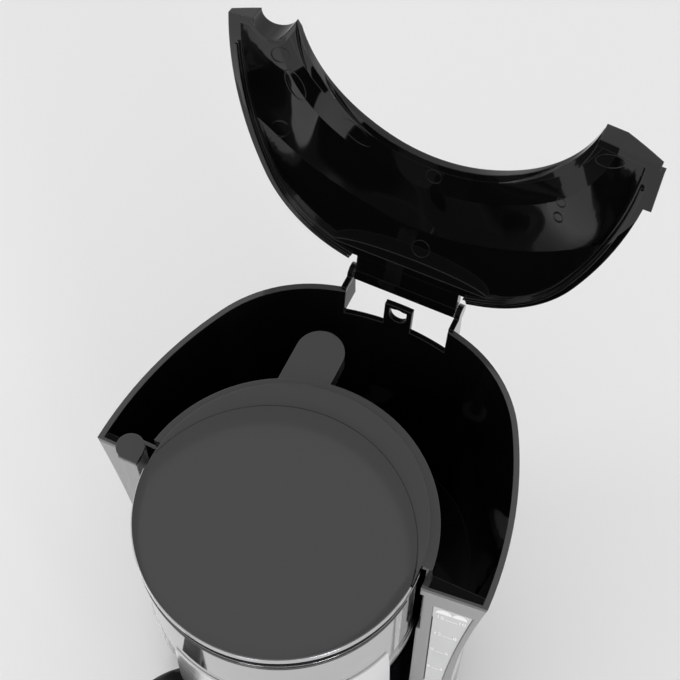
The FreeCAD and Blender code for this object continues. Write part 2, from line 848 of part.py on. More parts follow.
# Swing-out filter holder on its vertical hinge.
cap_top = ledge_top - dim.clearance
cap_bottom = cap_top - dim.post_cap_thickness
keep("hinge_post_cap", keyhole(cap_bottom, cap_top))
keep("holder_hinge_pin", rod(dim.pin_radius, lug_bottom + dim.tower_wall, cap_bottom, post_x, post_y))
barrel_bottom = dim.lug_top + dim.clearance
arm_right = -(dim.cover_radius - dim.tower_wall * 3)
arms = []
for low in (dim.shell_bottom + dim.hem_height + 1, dim.shell_top - 2 * dim.arm_height):
    arms.append(box(
        post_x + dim.post_right - 1, arm_right, post_y - dim.post_front, post_y,
        low, low + dim.arm_height,
    ))
barrel = cut(fuse(keyhole(barrel_bottom, cap_bottom), *arms),
             rod(dim.cover_radius + dim.press_gap, 0, FAR),
             rod(dim.pin_radius + dim.pin_fit, 0, FAR, post_x, post_y))
keep("hinge_barrel", barrel)
spray_notch = box(
    tongue_x - dim.spray_notch * 0.5, tongue_x + dim.spray_notch * 0.5,
    dim.shower_radius, FAR, spray_z - dim.spray_radius - dim.notch_gap, FAR,
)
shell_inner = dim.cover_radius - dim.shell_thickness
hem_top = dim.shell_bottom + dim.hem_height
keep("holder_shell", cut(
    fuse(
        ring(dim.cover_radius, shell_inner, dim.shell_bottom, dim.shell_top),
        ring(dim.cover_radius + dim.hem_proud, shell_inner, dim.shell_bottom, hem_top),
    ),
    spray_notch,
))
grip_top = dim.shell_bottom + dim.grip_rise
grip_low = dim.shell_bottom - dim.grip_drop
grip_inner = dim.cover_radius + dim.hem_proud + dim.press_gap
grip_seat = dim.cover_radius + dim.press_gap
grip_step = hem_top + dim.clearance
grip_band = turned([
    (grip_inner, grip_low),
    (grip_inner + dim.grip_wall + dim.grip_flare, grip_low),
    (grip_inner + dim.grip_wall, grip_step),
    (grip_seat + dim.grip_wall, grip_top),
    (grip_seat, grip_top),
    (grip_seat, grip_step),
    (grip_inner, grip_step),
])
keep("holder_grip", common(
    grip_band, box(-dim.grip_left, FAR, -FAR, -dim.grip_right, grip_low - 1, grip_top + 1)
))
base_ring_bottom = dim.shell_bottom - dim.base_ring_height
base_ring_inner = dim.cover_radius - dim.base_ring_depth
keep("holder_base_ring", ring(
    dim.cover_radius + dim.trim_proud, base_ring_inner, base_ring_bottom, dim.shell_bottom
))
holder_outer = shell_inner - dim.press_gap
holder_inner = holder_outer - dim.holder_wall
seat_radius = holder_inner - dim.holder_seat_width
seat_z = dim.shell_top - dim.holder_seat_drop
neck_outer = base_ring_inner - dim.press_gap
cone_rim = dim.shell_bottom - dim.base_ring_height
outlet_top = dim.cone_bottom + dim.holder_wall * 2.5
holder_body = turned([
    (dim.outlet_bore, dim.cone_bottom),
    (dim.outlet_radius, dim.cone_bottom),
    (dim.outlet_radius, dim.cone_bottom + dim.holder_wall),
    (neck_outer, cone_rim),
    (neck_outer, dim.shell_bottom),
    (holder_outer, dim.shell_bottom),
    (holder_outer, dim.shell_top - dim.holder_wall),
    (holder_inner, dim.shell_top - dim.holder_wall),
    (holder_inner, seat_z),
    (seat_radius, seat_z),
    (seat_radius, seat_z - dim.holder_wall),
    (holder_inner, seat_z - dim.holder_wall - dim.holder_seat_width),
    (holder_inner, dim.shell_bottom + dim.holder_wall),
    (neck_outer - dim.holder_wall, dim.shell_bottom + dim.holder_wall),
    (neck_outer - dim.holder_wall, cone_rim + dim.holder_wall),
    (dim.outlet_bore, outlet_top),
])
keep("filter_holder", cut(holder_body, spray_notch))
basket_rim = seat_radius - dim.clearance
flange_top = seat_z + dim.basket_wall
basket_cup = turned([
    (0, dim.basket_floor),
    (dim.basket_floor_radius, dim.basket_floor),
    (basket_rim, seat_z),
    (holder_inner - dim.clearance, seat_z),
    (holder_inner - dim.clearance, flange_top),
    (basket_rim - dim.basket_wall, flange_top),
    (dim.basket_floor_radius - dim.basket_wall, dim.basket_floor + dim.basket_wall),
    (0, dim.basket_floor + dim.basket_wall),
])
drains = []
for step in range(int(dim.basket_holes.number)):
    turn = 2 * math.pi * step / dim.basket_holes.number
    reach = dim.basket_floor_radius * 0.6
    drains.append(rod(dim.basket_hole, dim.basket_floor - 1, seat_z,
                      reach * math.cos(turn), reach * math.sin(turn)))
keep("filter_basket", cut(basket_cup, *drains))

# Drip valve: plunger and its silicone washer in the outlet of the filter holder.
washer_bottom = outlet_top + dim.clearance
washer_top = washer_bottom + dim.holder_wall
keep("drip_valve", fuse(
    rod(dim.valve_stem, dim.valve_tip, washer_top + dim.holder_wall * 0.5),
    rod(dim.valve_radius, dim.valve_tip, dim.valve_tip + dim.holder_wall),
))
keep("valve_washer", ring(
    dim.outlet_bore + dim.clearance, dim.valve_stem + dim.press_gap, washer_bottom, washer_top
))

# Tank lid, drawn shut and then turned open on its hinge.
lid_bottom = dim.rim_height + dim.lid_gap
crown_width = dim.corner_radius - dim.lid_crown_margin
lid_front = -dim.cover_radius.number


def lid_form(wall, low, edge):
    """The lid's solid form: an upright skirt, set in by an edge, and a crown that rises inwards."""
    rim, lift = dim.rim_height.number, dim.lid_edge_rise.number
    rise = dim.cover_rise.number - lift
    sections = []
    for share in (0, 0.12, 0.28, 0.5, 0.75, 1):
        height = rim + lift - wall + rise * (1 - (1 - share) ** 2)
        inset = max(crown_width.number * share + wall, edge)
        sections.append(tower_outline(inset, height, lid_front))
    crown = Part.makeLoft(sections, True, False)
    skirt_height = Vector(0, 0, rim + lift - wall - low)
    skirt = Part.Face(tower_outline(edge, low, lid_front)).extrude(skirt_height)
    return shaped(crown.fuse(skirt).removeSplitter(), "lid_form")


def lid_front_wedge(setback):
    face = dim.front_face + setback
    inner = face - dim.front_lead
    return plate([
        (-FAR, -FAR), (FAR, -FAR), (FAR, face), (dim.half_width, face), (dim.bay_radius, inner),
        (-dim.bay_radius, inner), (-dim.half_width, face), (-FAR, face),
    ], 0, FAR)


def over_tips(wall):
    """The space above the two tips, where the crown falls away towards the front."""
    start = dim.front_face - dim.front_lead
    low = dim.rim_height + dim.lid_tip_rise - wall
    length = dim.bay_radius
    high = low + length * math.tan(math.radians(dim.lid_tip_slope.number))
    corners = [
        (start, low), (start + length, high), (start + length, FAR), (-length, FAR), (-length, low),
    ]
    return across(corners, -FAR, FAR)


post_notch = dim.post_radius + dim.lid_post_gap
lip_depth = dim.lid_wall + dim.lid_lip_drop
below_lip = cut(
    common(
        lid_form(lip_depth.number, dim.rim_height.number - 1, dim.lid_flange.number),
        rod(dim.lid_bay_radius + dim.lid_lip + 1, 0, FAR, 0, -dim.lid_bay_shift),
    ),
    rod(post_notch + dim.lid_wall, 0, FAR, post_x, post_y),
    lid_front_wedge(dim.lid_lip),
    over_tips(lip_depth),
)
ear_room = box(-notch_half - dim.ear_thickness - 1, notch_half + dim.ear_thickness + 1,
               notch_front + dim.tower_wall, FAR, 0, FAR)
lid_block = cut(
    lid_form(0, lid_bottom.number, 0),
    rod(dim.lid_bay_radius, 0, FAR, 0, -dim.lid_bay_shift),
    rod(dim.cover_radius + dim.clearance, 0, seat_top + dim.clearance),
    rod(ledge_radius + dim.clearance, 0, ledge_top + dim.clearance),
    rod(post_notch, 0, FAR, post_x, post_y),
    lid_front_wedge(0),
    below_lip,
    over_tips(0),
    ear_room,
)
lid_room = cut(
    lid_form(dim.lid_wall.number, dim.rim_height.number - 1, dim.lid_flange.number),
    rod(dim.lid_bay_radius + dim.lid_lip, 0, FAR, 0, -dim.lid_bay_shift),
    rod(post_notch + dim.lid_wall, 0, FAR, post_x, post_y),
    lid_front_wedge(dim.lid_lip),
    over_tips(dim.lid_wall),
    box(-FAR, FAR, notch_front - dim.lid_wall, FAR, 0, FAR),
)
rib_inset = dim.tower_wall.number + dim.lid_gap.number
rib_low = dim.rim_height.number - dim.lid_rib_drop.number
rib_height = dim.lid_rib_drop.number + dim.lid_edge_rise.number
rib_forms = []
for inset in (rib_inset, rib_inset + dim.lid_wall.number * 0.6):
    rib_face = Part.Face(tower_outline(inset, rib_low, lid_front))
    rib_forms.append(shaped(rib_face.extrude(Vector(0, 0, rib_height)), "rib_form"))
lid_rib = common(
    cut(rib_forms[0], rib_forms[1], ear_room),
    box(-FAR, FAR, dim.lid_rib_start, FAR, 0, FAR),
)
web_bottom = hinge_z - dim.hinge_barrel * 0.5
web_top = hinge_z + dim.hinge_barrel
lid_web = box(-dim.hinge_half, dim.hinge_half, notch_front, hinge_y, web_bottom, web_top)
lid_barrel = rod(dim.hinge_barrel, -dim.hinge_half, dim.hinge_half, 0, hinge_y, hinge_z, "x")
lid_tab = box(
    dim.half_width - dim.lid_flange, dim.half_width + dim.lid_tab_reach,
    dim.lid_tab_start, dim.lid_tab_start + dim.lid_tab_length,
    lid_bottom, lid_bottom + dim.lid_tab_height,
)
lid = cut(
    fuse(cut(lid_block, lid_room), lid_rib, lid_web, lid_barrel, lid_tab),
    rod(dim.hinge_pin_radius + dim.pin_fit, -FAR, FAR, 0, hinge_y, hinge_z, "x"),
)
lid.Placement = FreeCAD.Placement(
    Vector(),
    FreeCAD.Rotation(Vector(1, 0, 0), -dim.lid_open_angle.number),
    Vector(0, hinge_y.number, hinge_z.number),
)
keep("tank_lid", lid)
pin_reach = notch_half + dim.ear_thickness
keep("lid_hinge_pin", rod(dim.hinge_pin_radius, -pin_reach, pin_reach, 0, hinge_y, hinge_z, "x"))


# Base: housing, bottom pan, feet and screws.
def base_prism(wall, bottom, top):
    wall, bottom, top = as_size(wall), as_size(bottom), as_size(top)
    inset = dim.waist_inset.number + wall.number
    outline = tower_outline(inset, bottom.number, wall.number - dim.base_front_face.number)
    rear = shaped(Part.Face(outline).extrude(Vector(0, 0, top.number - bottom.number)), "base_rear")
    return fuse(rear, rod(dim.base_front_radius - wall, bottom, top))


screw_spots = [
    (side * x, y)
    for side in (-1, 1)
    for x, y in (
        (dim.half_width - dim.screw_front_x, dim.screw_front_y),
        (dim.half_width - dim.screw_rear_x, dim.rear_reach - dim.screw_rear_y),
    )
]
boss_radius = dim.screw_radius + dim.boss_wall
boss_hole = dim.screw_radius + dim.press_gap
bosses = [rod(boss_radius, base_bottom, deck_underside + 1, x, y) for x, y in screw_spots]
boss_holes = [
    rod(boss_hole, 0, base_bottom + dim.screw_length, x, y) for x, y in screw_spots
]
plate_hole = rod(dim.plate_radius + dim.base_wall, 0, FAR)
inlet_bore = rod(dim.inlet_radius + dim.press_gap, outlet_y, FAR, dim.inlet_x, 0, dim.inlet_z, "y")
hose_room = dim.hose_radius + dim.boss_gap
hose_gap = box(
    tongue_x - hose_room, dim.outlet_x + hose_room,
    ledge_radius + dim.boss_gap, outlet_y + hose_room, dim.base_top - 2 * dim.base_wall, FAR,
)
housing_shell = cut(
    base_prism(0, base_bottom, dim.base_top),
    base_prism(dim.base_wall, base_bottom - 1, deck_underside),
    plate_hole, inlet_bore, hose_gap,
)
keep("base_housing", cut(fuse(housing_shell, *bosses), *boss_holes))
head_seat = dim.foot_height + dim.screw_head_height
pan_cuts = []
for x, y in screw_spots:
    pan_cuts.append(rod(boss_hole, 0, FAR, x, y))
    pan_cuts.append(rod(dim.screw_head_radius + dim.clearance, 0, head_seat, x, y))
keep("base_pan", cut(base_prism(0, dim.foot_height, base_bottom), *pan_cuts))
foot_spots = [
    (side * x, y)
    for side in (-1, 1)
    for x, y in (
        (dim.foot_spread_front, -dim.foot_spread_front),
        (dim.half_width - dim.foot_spread_rear, dim.rear_reach - dim.foot_rear),
    )
]
keep("rubber_feet", group(
    frustum(dim.foot_radius - 1, dim.foot_radius, 0, dim.foot_height, x, y) for x, y in foot_spots
))
keep("base_screws", group(
    fuse(
        rod(dim.screw_head_radius, dim.foot_height, head_seat, x, y),
        rod(dim.screw_radius, dim.foot_height, dim.foot_height + dim.screw_length, x, y),
    )
    for x, y in screw_spots
))

# Hot plate with its gasket, and the flow heater clamped under it.
gasket_top = dim.base_top + dim.gasket_height
plate_top = dim.base_top + dim.plate_rise
plate_bottom = plate_top - dim.plate_sheet
heater_z = plate_bottom - dim.heater_tube - dim.press_gap
clamp_top = heater_z - dim.heater_tube - dim.press_gap
clamp_bottom = clamp_top - dim.clamp_sheet
nut_bottom = clamp_bottom - dim.clamp_sheet * 2
dish = turned([
    (0, plate_bottom),
    (dim.plate_radius - dim.plate_sheet, plate_bottom),
    (dim.plate_radius - dim.plate_sheet, gasket_top),
    (dim.plate_lip, gasket_top),
    (dim.plate_lip, gasket_top + dim.plate_sheet * 0.8),
    (dim.plate_radius, plate_top - dim.plate_sheet * 0.3),
    (dim.plate_radius - dim.plate_sheet, plate_top),
    (0, plate_top),
])
stud = rod(dim.screw_radius, nut_bottom, plate_bottom + dim.plate_sheet * 0.5)
keep("hot_plate", fuse(dish, stud))
keep("plate_gasket", ring(dim.plate_lip, dim.plate_radius + dim.base_wall, dim.base_top, gasket_top))


def horseshoe(reach, tail, radius):
    """A round bar bent to a horseshoe under the hot plate, open towards the rear."""
    reach, z = float(reach), heater_z.number
    tail = float(tail)
    ends = [Vector(x, y, z) for x, y in ((-reach, tail), (-reach, 0), (reach, 0), (reach, tail))]
    path = Part.Wire([
        Part.LineSegment(ends[0], ends[1]).toShape(),
        Part.Arc(ends[1], Vector(0, -reach, z), ends[2]).toShape(),
        Part.LineSegment(ends[2], ends[3]).toShape(),
    ])
    section = Part.Wire(Part.Circle(ends[0], Vector(0, 1, 0), float(radius)).toShape())
    return path.makePipeShell([section], True, False)


keep("flow_heater", shaped(
    horseshoe(dim.heater_radius, dim.heater_tail, dim.heater_tube).cut(
        horseshoe(dim.heater_radius, dim.heater_tail, dim.heater_bore)
    ), "flow_heater"
))
element_reach = dim.heater_radius - dim.heater_tube - dim.element_tube - dim.press_gap
keep("heating_element", shaped(
    horseshoe(element_reach, dim.heater_tail - dim.heater_tube, dim.element_tube), "heating_element"
))
clamp_reach = dim.heater_radius + dim.heater_tube
clamp_half = dim.clamp_width * 0.5
stud_hole = rod(dim.screw_radius + dim.press_gap, 0, FAR)
keep("heater_clamp", cut(
    box(-clamp_reach, clamp_reach, -clamp_half, clamp_half, clamp_bottom, clamp_top), stud_hole
))
keep("clamp_nut", cut(rod(clamp_half * 0.6, nut_bottom, clamp_bottom), stud_hole))
sensor_top = clamp_bottom - dim.press_gap
keep("thermostat", fuse(
    rod(clamp_half, sensor_top - dim.clamp_width * 0.5, sensor_top, -element_reach),
    rod(clamp_half * 0.7, sensor_top - dim.clamp_width * 0.8, sensor_top, -element_reach),
))
fuse_radius = clamp_half * 0.35
keep("thermal_fuses", group(
    rod(fuse_radius, -clamp_half, clamp_half, element_reach * share, 0, sensor_top - fuse_radius, "y")
    for share in (0.55, 0.9)
))

# Cold and hot water paths inside the column.
valve_bottom = dim.tank_floor - dim.clamp_width
keep("check_valve", cut(
    fuse(
        rod(dim.hose_radius + dim.boss_wall, valve_bottom, dim.tank_floor, dim.outlet_x, outlet_y),
        rod(dim.hose_radius, dim.tank_floor, floor_top, dim.outlet_x, outlet_y),
    ),
    rod(dim.hose_bore, 0, FAR, dim.outlet_x, outlet_y),
))
strainer_radius = dim.hose_radius + dim.boss_wall + dim.boss_wall
strainer_top = floor_top + dim.strainer_height
keep("tank_strainer", turned([
    (dim.hose_radius, floor_top),
    (strainer_radius, floor_top),
    (strainer_radius - dim.boss_wall, strainer_top),
    (0, strainer_top),
    (0, strainer_top - dim.boss_wall * 0.5),
    (dim.hose_radius, strainer_top - dim.boss_wall * 0.5),
], dim.outlet_x, outlet_y))
hose_bend = 2.5 * dim.hose_radius.number
hose_run = deck_underside - dim.hose_radius - 2 * dim.clearance
hose_knee = dim.heater_tail + dim.heater_tube
keep("cold_water_hose", hose(
    [
        (dim.outlet_x, outlet_y, valve_bottom),
        (dim.outlet_x, outlet_y, hose_run),
        (dim.heater_radius, dim.plate_radius * 0.75, hose_run),
        (dim.heater_radius, hose_knee, heater_z),
        (dim.heater_radius, dim.heater_tail, heater_z),
    ], hose_bend, dim.hose_radius, dim.hose_bore,
))
keep("hot_water_hose", hose(
    [
        (-dim.heater_radius, dim.heater_tail, heater_z),
        (-dim.heater_radius, hose_knee, heater_z),
        (-dim.heater_radius, dim.plate_radius * 0.75, hose_run),
        (tongue_x, dim.riser_y, hose_run),
        (tongue_x, dim.riser_y, riser_bottom),
    ], hose_bend, dim.hose_radius, dim.hose_bore,
))

# Carafe: glass, steel collar, handle with its screw, and lid.
glass_bottom = plate_top + dim.clearance
belly_z = glass_bottom + dim.carafe_belly_height
neck_z = glass_bottom + dim.carafe_neck_height
glass_top = glass_bottom + dim.carafe_height
lip_radius = dim.carafe_neck_radius + dim.glass_wall * 0.8
inner_belly = dim.carafe_belly_radius - dim.glass_wall
inner_neck = dim.carafe_neck_radius - dim.glass_wall
lip_z = neck_z + dim.collar_height
keep("carafe_glass", turned([
    (0, glass_bottom),
    (dim.carafe_foot_radius, glass_bottom, dim.carafe_belly_radius),
    (dim.carafe_belly_radius, belly_z, dim.carafe_shoulder_radius),
    (dim.carafe_neck_radius, neck_z),
    (dim.carafe_neck_radius, lip_z),
    (lip_radius, glass_top),
    (lip_radius - dim.glass_wall, glass_top),
    (inner_neck, lip_z),
    (inner_neck, neck_z, -dim.carafe_shoulder_radius),
    (inner_belly, belly_z, -dim.carafe_belly_radius),
    (dim.carafe_foot_radius - dim.glass_wall, glass_bottom + dim.glass_wall),
    (0, glass_bottom + dim.glass_wall),
]))
collar_inner = dim.carafe_neck_radius + dim.press_gap
collar_outer = collar_inner + dim.collar_thickness
keep("carafe_collar", ring(collar_outer, collar_inner, neck_z + 1, lip_z))
handle_root = collar_outer + dim.press_gap
root_low = neck_z + 1
bar = dim.handle_bar
handle_slab = slab([
    (handle_root, root_low),
    (handle_root + bar, root_low),
    (handle_root + bar * 1.6, dim.handle_top - bar),
    (dim.handle_reach - bar * 1.6, dim.handle_top - bar),
    (dim.handle_reach - bar, dim.handle_top - bar * 1.6),
    (dim.handle_reach - bar * 1.5, dim.handle_bottom),
    (dim.handle_reach - bar * 0.7, dim.handle_bottom),
    (dim.handle_reach, dim.handle_top - bar),
    (dim.handle_reach - bar, dim.handle_top),
    (handle_root + bar, dim.handle_top),
    (handle_root, lip_z),
], -dim.handle_width * 0.5, dim.handle_width * 0.5)
screw_z = neck_z + dim.collar_height * 0.5
handle_heading = FreeCAD.Rotation(Vector(0, 0, 1), -90 - dim.handle_angle.number)
handle_turn = FreeCAD.Placement(Vector(), handle_heading)
head_seat_x = handle_root + bar
handle = cut(
    handle_slab,
    rod(boss_hole, 0, head_seat_x + 1, 0, 0, screw_z, "x"),
    rod(dim.screw_head_radius + dim.clearance, head_seat_x, head_seat_x + bar, 0, 0, screw_z, "x"),
)
handle.Placement = handle_turn
keep("carafe_handle", handle)
handle_screw = fuse(
    rod(dim.screw_radius, handle_root, head_seat_x + dim.screw_head_height, 0, 0, screw_z, "x"),
    rod(dim.screw_head_radius, head_seat_x, head_seat_x + dim.screw_head_height, 0, 0, screw_z, "x"),
)
handle_screw.Placement = handle_turn
keep("handle_screw", handle_screw)
plug_radius = inner_neck - dim.clearance
lid_rest = glass_top + dim.clearance
keep("carafe_lid", turned([
    (dim.pour_hole, dim.carafe_lid_top - dim.glass_wall),
    (dim.pour_hole * 2, dim.carafe_lid_top),
    (dim.carafe_lid_radius * 0.6, dim.carafe_lid_top),
    (dim.carafe_lid_radius, lid_rest + dim.collar_height * 0.6),
    (dim.carafe_lid_radius, lid_rest),
    (plug_radius, lid_rest),
    (plug_radius, lid_rest - dim.collar_height * 0.8),
    (plug_radius - dim.glass_wall, lid_rest - dim.collar_height * 0.8),
    (plug_radius - dim.glass_wall, lid_rest + dim.glass_wall),
    (dim.carafe_lid_radius * 0.55, dim.carafe_lid_top - dim.glass_wall * 2),
    (dim.pour_hole, dim.carafe_lid_top - dim.glass_wall * 2),
]))

# Power switch, pilot lamp and cord inlet.
bezel_front = dim.front_face - dim.front_lead - dim.bezel_proud
cup_back = bezel_front + dim.switch_depth
bezel_edge = dim.bezel_rim - dim.press_gap
keep("switch_bezel", cut(
    box(switch_left - bezel_edge, switch_right + bezel_edge, bezel_front, cup_back,
        switch_low - bezel_edge, switch_high + bezel_edge),
    box(switch_left, switch_right, -FAR, cup_back - dim.bezel_rim, switch_low, switch_high),
))
rocker_radius = dim.switch_height * 0.5 - dim.rocker_gap
rocker_y = bezel_front - dim.rocker_proud + rocker_radius
rocker_front = rocker_y - rocker_radius
rocker_bar = common(
    rod(rocker_radius, switch_left + dim.rocker_gap, switch_right - dim.rocker_gap,
        0, rocker_y, dim.switch_z, "x"),
    box(-FAR, FAR, -FAR, rocker_y, 0, FAR),
)
rocker_dip = across([
    (rocker_front - rocker_radius, dim.switch_z - rocker_radius * 2),
    (rocker_front + dim.rocker_dip, dim.switch_z),
    (rocker_front - rocker_radius, dim.switch_z + rocker_radius * 2),
], 0, FAR)
rocker = cut(rocker_bar, rocker_dip)
rocker.Placement = FreeCAD.Placement(
    Vector(),
    FreeCAD.Rotation(Vector(1, 0, 0), dim.rocker_tilt.number),
    Vector(0, rocker_y.number, dim.switch_z.number),
)
keep("switch_rocker", rocker)
lens_back = panel_back + dim.tower_wall
keep("pilot_lens", rod(dim.lamp_radius, bezel_front, lens_back, switch_x, 0, dim.lamp_z, "y"))
inlet_root = dim.rear_reach - dim.waist_inset - dim.inlet_length * 0.6
keep("cord_inlet", cut(
    rod(dim.inlet_radius, inlet_root, inlet_root + dim.inlet_length, dim.inlet_x, 0, dim.inlet_z, "y"),
    rod(dim.cord_hole, 0, FAR, dim.inlet_x, 0, dim.inlet_z, "y"),
))

doc.recompute()
faults = [item.Label for item in doc.Objects if {"Invalid", "Error"} & set(item.State)]
faults += [
    label for label, item in pieces.items()
    if item.Shape.isNull() or not item.Shape.isValid() or not item.Shape.Solids
]
if faults:
    raise RuntimeError(f"these objects failed: {', '.join(faults)}")
os.makedirs("parts", exist_ok=True)
for label, item in pieces.items():
    item.Shape.exportStep(f"parts/{label}.step")
print(f"{len(pieces)} pieces written")
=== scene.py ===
import math

import bmesh
import bpy
from mathutils import Matrix, Vector
from mathutils.bvhtree import BVHTree


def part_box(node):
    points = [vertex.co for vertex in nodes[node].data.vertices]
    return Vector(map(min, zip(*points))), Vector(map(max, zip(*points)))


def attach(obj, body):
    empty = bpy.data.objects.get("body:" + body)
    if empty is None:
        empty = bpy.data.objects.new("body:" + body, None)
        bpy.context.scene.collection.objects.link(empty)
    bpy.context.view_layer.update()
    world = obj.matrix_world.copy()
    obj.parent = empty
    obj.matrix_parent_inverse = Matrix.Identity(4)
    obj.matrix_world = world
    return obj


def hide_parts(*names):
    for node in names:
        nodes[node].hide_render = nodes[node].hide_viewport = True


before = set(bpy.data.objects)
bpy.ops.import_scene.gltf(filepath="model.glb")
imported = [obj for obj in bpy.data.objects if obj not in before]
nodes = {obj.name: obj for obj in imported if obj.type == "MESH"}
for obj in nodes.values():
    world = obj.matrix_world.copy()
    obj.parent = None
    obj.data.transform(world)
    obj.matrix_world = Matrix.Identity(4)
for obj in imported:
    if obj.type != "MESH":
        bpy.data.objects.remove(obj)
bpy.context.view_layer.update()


# Base pan: a matt black moulded tray that closes the machine from below.
# A row of ribs stiffens its middle, and four rubber feet are pressed into it.
def moulded_group():
    """The skin of a moulding: cloudy colour and gloss, fine grain, slow sink ripples, and edges painted
    paler as wear and painted highlight.
    """
    group = bpy.data.node_groups.new("moulded_skin", "ShaderNodeTree")
    for name, kind in (
        ("Colour", "NodeSocketColor"), ("Drift", "NodeSocketFloat"), ("Roughness", "NodeSocketFloat"),
        ("Unevenness", "NodeSocketFloat"), ("Grain Scale", "NodeSocketFloat"),
        ("Grain Height", "NodeSocketFloat"), ("Ripple Height", "NodeSocketFloat"),
        ("Edge Radius", "NodeSocketFloat"), ("Edge Wear", "NodeSocketFloat"),
    ):
        group.interface.new_socket(name=name, in_out="INPUT", socket_type=kind)
    for name, kind in (
        ("Colour", "NodeSocketColor"), ("Roughness", "NodeSocketFloat"), ("Normal", "NodeSocketVector"),
    ):
        group.interface.new_socket(name=name, in_out="OUTPUT", socket_type=kind)
    tree, link = group.nodes, group.links.new
    inside, outside = tree.new("NodeGroupInput"), tree.new("NodeGroupOutput")
    place = tree.new("ShaderNodeTexCoord")
    clouds = []
    for scale, detail in ((22, 5), (900, 2), (17, 1)):
        noise = tree.new("ShaderNodeTexNoise")
        noise.inputs["Scale"].default_value = scale
        noise.inputs["Detail"].default_value = detail
        link(place.outputs["Object"], noise.inputs["Vector"])
        clouds.append(noise)
    cloud, grain, ripple = clouds
    link(inside.outputs["Grain Scale"], grain.inputs["Scale"])
    centred = tree.new("ShaderNodeMath")
    centred.operation = "SUBTRACT"
    centred.inputs[1].default_value = 0.5
    link(cloud.outputs["Fac"], centred.inputs[0])
    lighten = tree.new("ShaderNodeMath")
    lighten.operation = "MULTIPLY_ADD"
    lighten.inputs[2].default_value = 1.0
    link(centred.outputs[0], lighten.inputs[0])
    link(inside.outputs["Drift"], lighten.inputs[1])
    tint = tree.new("ShaderNodeVectorMath")
    tint.operation = "SCALE"
    link(inside.outputs["Colour"], tint.inputs[0])
    link(lighten.outputs[0], tint.inputs["Scale"])
    gloss = tree.new("ShaderNodeMath")
    gloss.operation = "MULTIPLY_ADD"
    gloss.use_clamp = True
    link(centred.outputs[0], gloss.inputs[0])
    link(inside.outputs["Unevenness"], gloss.inputs[1])
    link(inside.outputs["Roughness"], gloss.inputs[2])
    rounded = tree.new("ShaderNodeBevel")
    rounded.samples = 4
    link(inside.outputs["Edge Radius"], rounded.inputs["Radius"])
    surface = tree.new("ShaderNodeNewGeometry")
    turn = tree.new("ShaderNodeVectorMath")
    turn.operation = "DOT_PRODUCT"
    link(rounded.outputs["Normal"], turn.inputs[0])
    link(surface.outputs["Normal"], turn.inputs[1])
    edge = tree.new("ShaderNodeMapRange")
    edge.inputs["From Min"].default_value = 0.995
    edge.inputs["From Max"].default_value = 0.8
    link(turn.outputs["Value"], edge.inputs["Value"])
    # Rounded edges are painted paler: edge wear together with a painted highlight.
    worn_and_lit = tree.new("ShaderNodeMath")
    worn_and_lit.operation = "MULTIPLY"
    link(edge.outputs["Result"], worn_and_lit.inputs[0])
    link(inside.outputs["Edge Wear"], worn_and_lit.inputs[1])
    colour = tree.new("ShaderNodeMix")
    colour.data_type = "RGBA"
    colour.inputs[7].default_value = (0.4, 0.4, 0.41, 1)
    link(worn_and_lit.outputs[0], colour.inputs[0])
    link(tint.outputs["Vector"], colour.inputs[6])
    slow = tree.new("ShaderNodeBump")
    slow.inputs["Distance"].default_value = 0.001
    link(inside.outputs["Ripple Height"], slow.inputs["Strength"])
    link(ripple.outputs["Fac"], slow.inputs["Height"])
    link(rounded.outputs["Normal"], slow.inputs["Normal"])
    fine = tree.new("ShaderNodeBump")
    fine.inputs["Distance"].default_value = 0.0001
    link(inside.outputs["Grain Height"], fine.inputs["Strength"])
    link(grain.outputs["Fac"], fine.inputs["Height"])
    link(slow.outputs["Normal"], fine.inputs["Normal"])
    link(colour.outputs[2], outside.inputs["Colour"])
    link(gloss.outputs[0], outside.inputs["Roughness"])
    link(fine.outputs["Normal"], outside.inputs["Normal"])
    return group


moulded_skin = moulded_group()


def finish(name, colour, rough, drift=0.2, uneven=0.1, grain=900, height=0.05, ripple=0.0,
           edge=0.0006, wear_and_highlight=0.0, **fixed):
    """A material on the moulded skin; the values that don't vary sit on the shader's own sockets."""
    material = bpy.data.materials.new(name)
    material.use_nodes = True
    tree = material.node_tree
    shader = tree.nodes["Principled BSDF"]
    skin = tree.nodes.new("ShaderNodeGroup")
    skin.node_tree = moulded_skin
    for socket, value in (
        ("Colour", (*colour, 1)), ("Drift", drift), ("Roughness", rough), ("Unevenness", uneven),
        ("Grain Scale", grain), ("Grain Height", height), ("Ripple Height", ripple),
        ("Edge Radius", edge), ("Edge Wear", wear_and_highlight),
    ):
        skin.inputs[socket].default_value = value
    tree.links.new(skin.outputs["Colour"], shader.inputs["Base Color"])
    tree.links.new(skin.outputs["Roughness"], shader.inputs["Roughness"])
    tree.links.new(skin.outputs["Normal"], shader.inputs["Normal"])
    for socket, value in fixed.items():
        shader.inputs[socket.replace("_", " ")].default_value = value
    return material


def dress(material, *names):
    """Gives solids a finish and smooths their curved faces up to a crease angle."""
    for name in names:
        solid = nodes[name]
        solid.data.materials.clear()
        solid.data.materials.append(material)
        solid.data.polygons.foreach_set("use_smooth", [True] * len(solid.data.polygons))
        weld = solid.modifiers.new("weld", "WELD")
        weld.merge_threshold = 0.00001
        crease = solid.modifiers.new("crease", "EDGE_SPLIT")
        crease.split_angle = math.radians(32)
        solid.modifiers.new("flats", "WEIGHTED_NORMAL")


def add_piece(name, builder, material, body, slot, *replaced):
    """Turns a bmesh into a piece that rides on a body and stands for the solids it replaces."""
    mesh = bpy.data.meshes.new(name)
    builder.to_mesh(mesh)
    builder.free()
    mesh.polygons.foreach_set("use_smooth", [True] * len(mesh.polygons))
    mesh.set_sharp_from_angle(angle=math.radians(35))
    mesh.materials.append(material)
    piece = bpy.data.objects.new(name, mesh)
    bpy.context.scene.collection.objects.link(piece)
    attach(piece, body)
    if replaced:
        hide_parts(*replaced)
    return piece


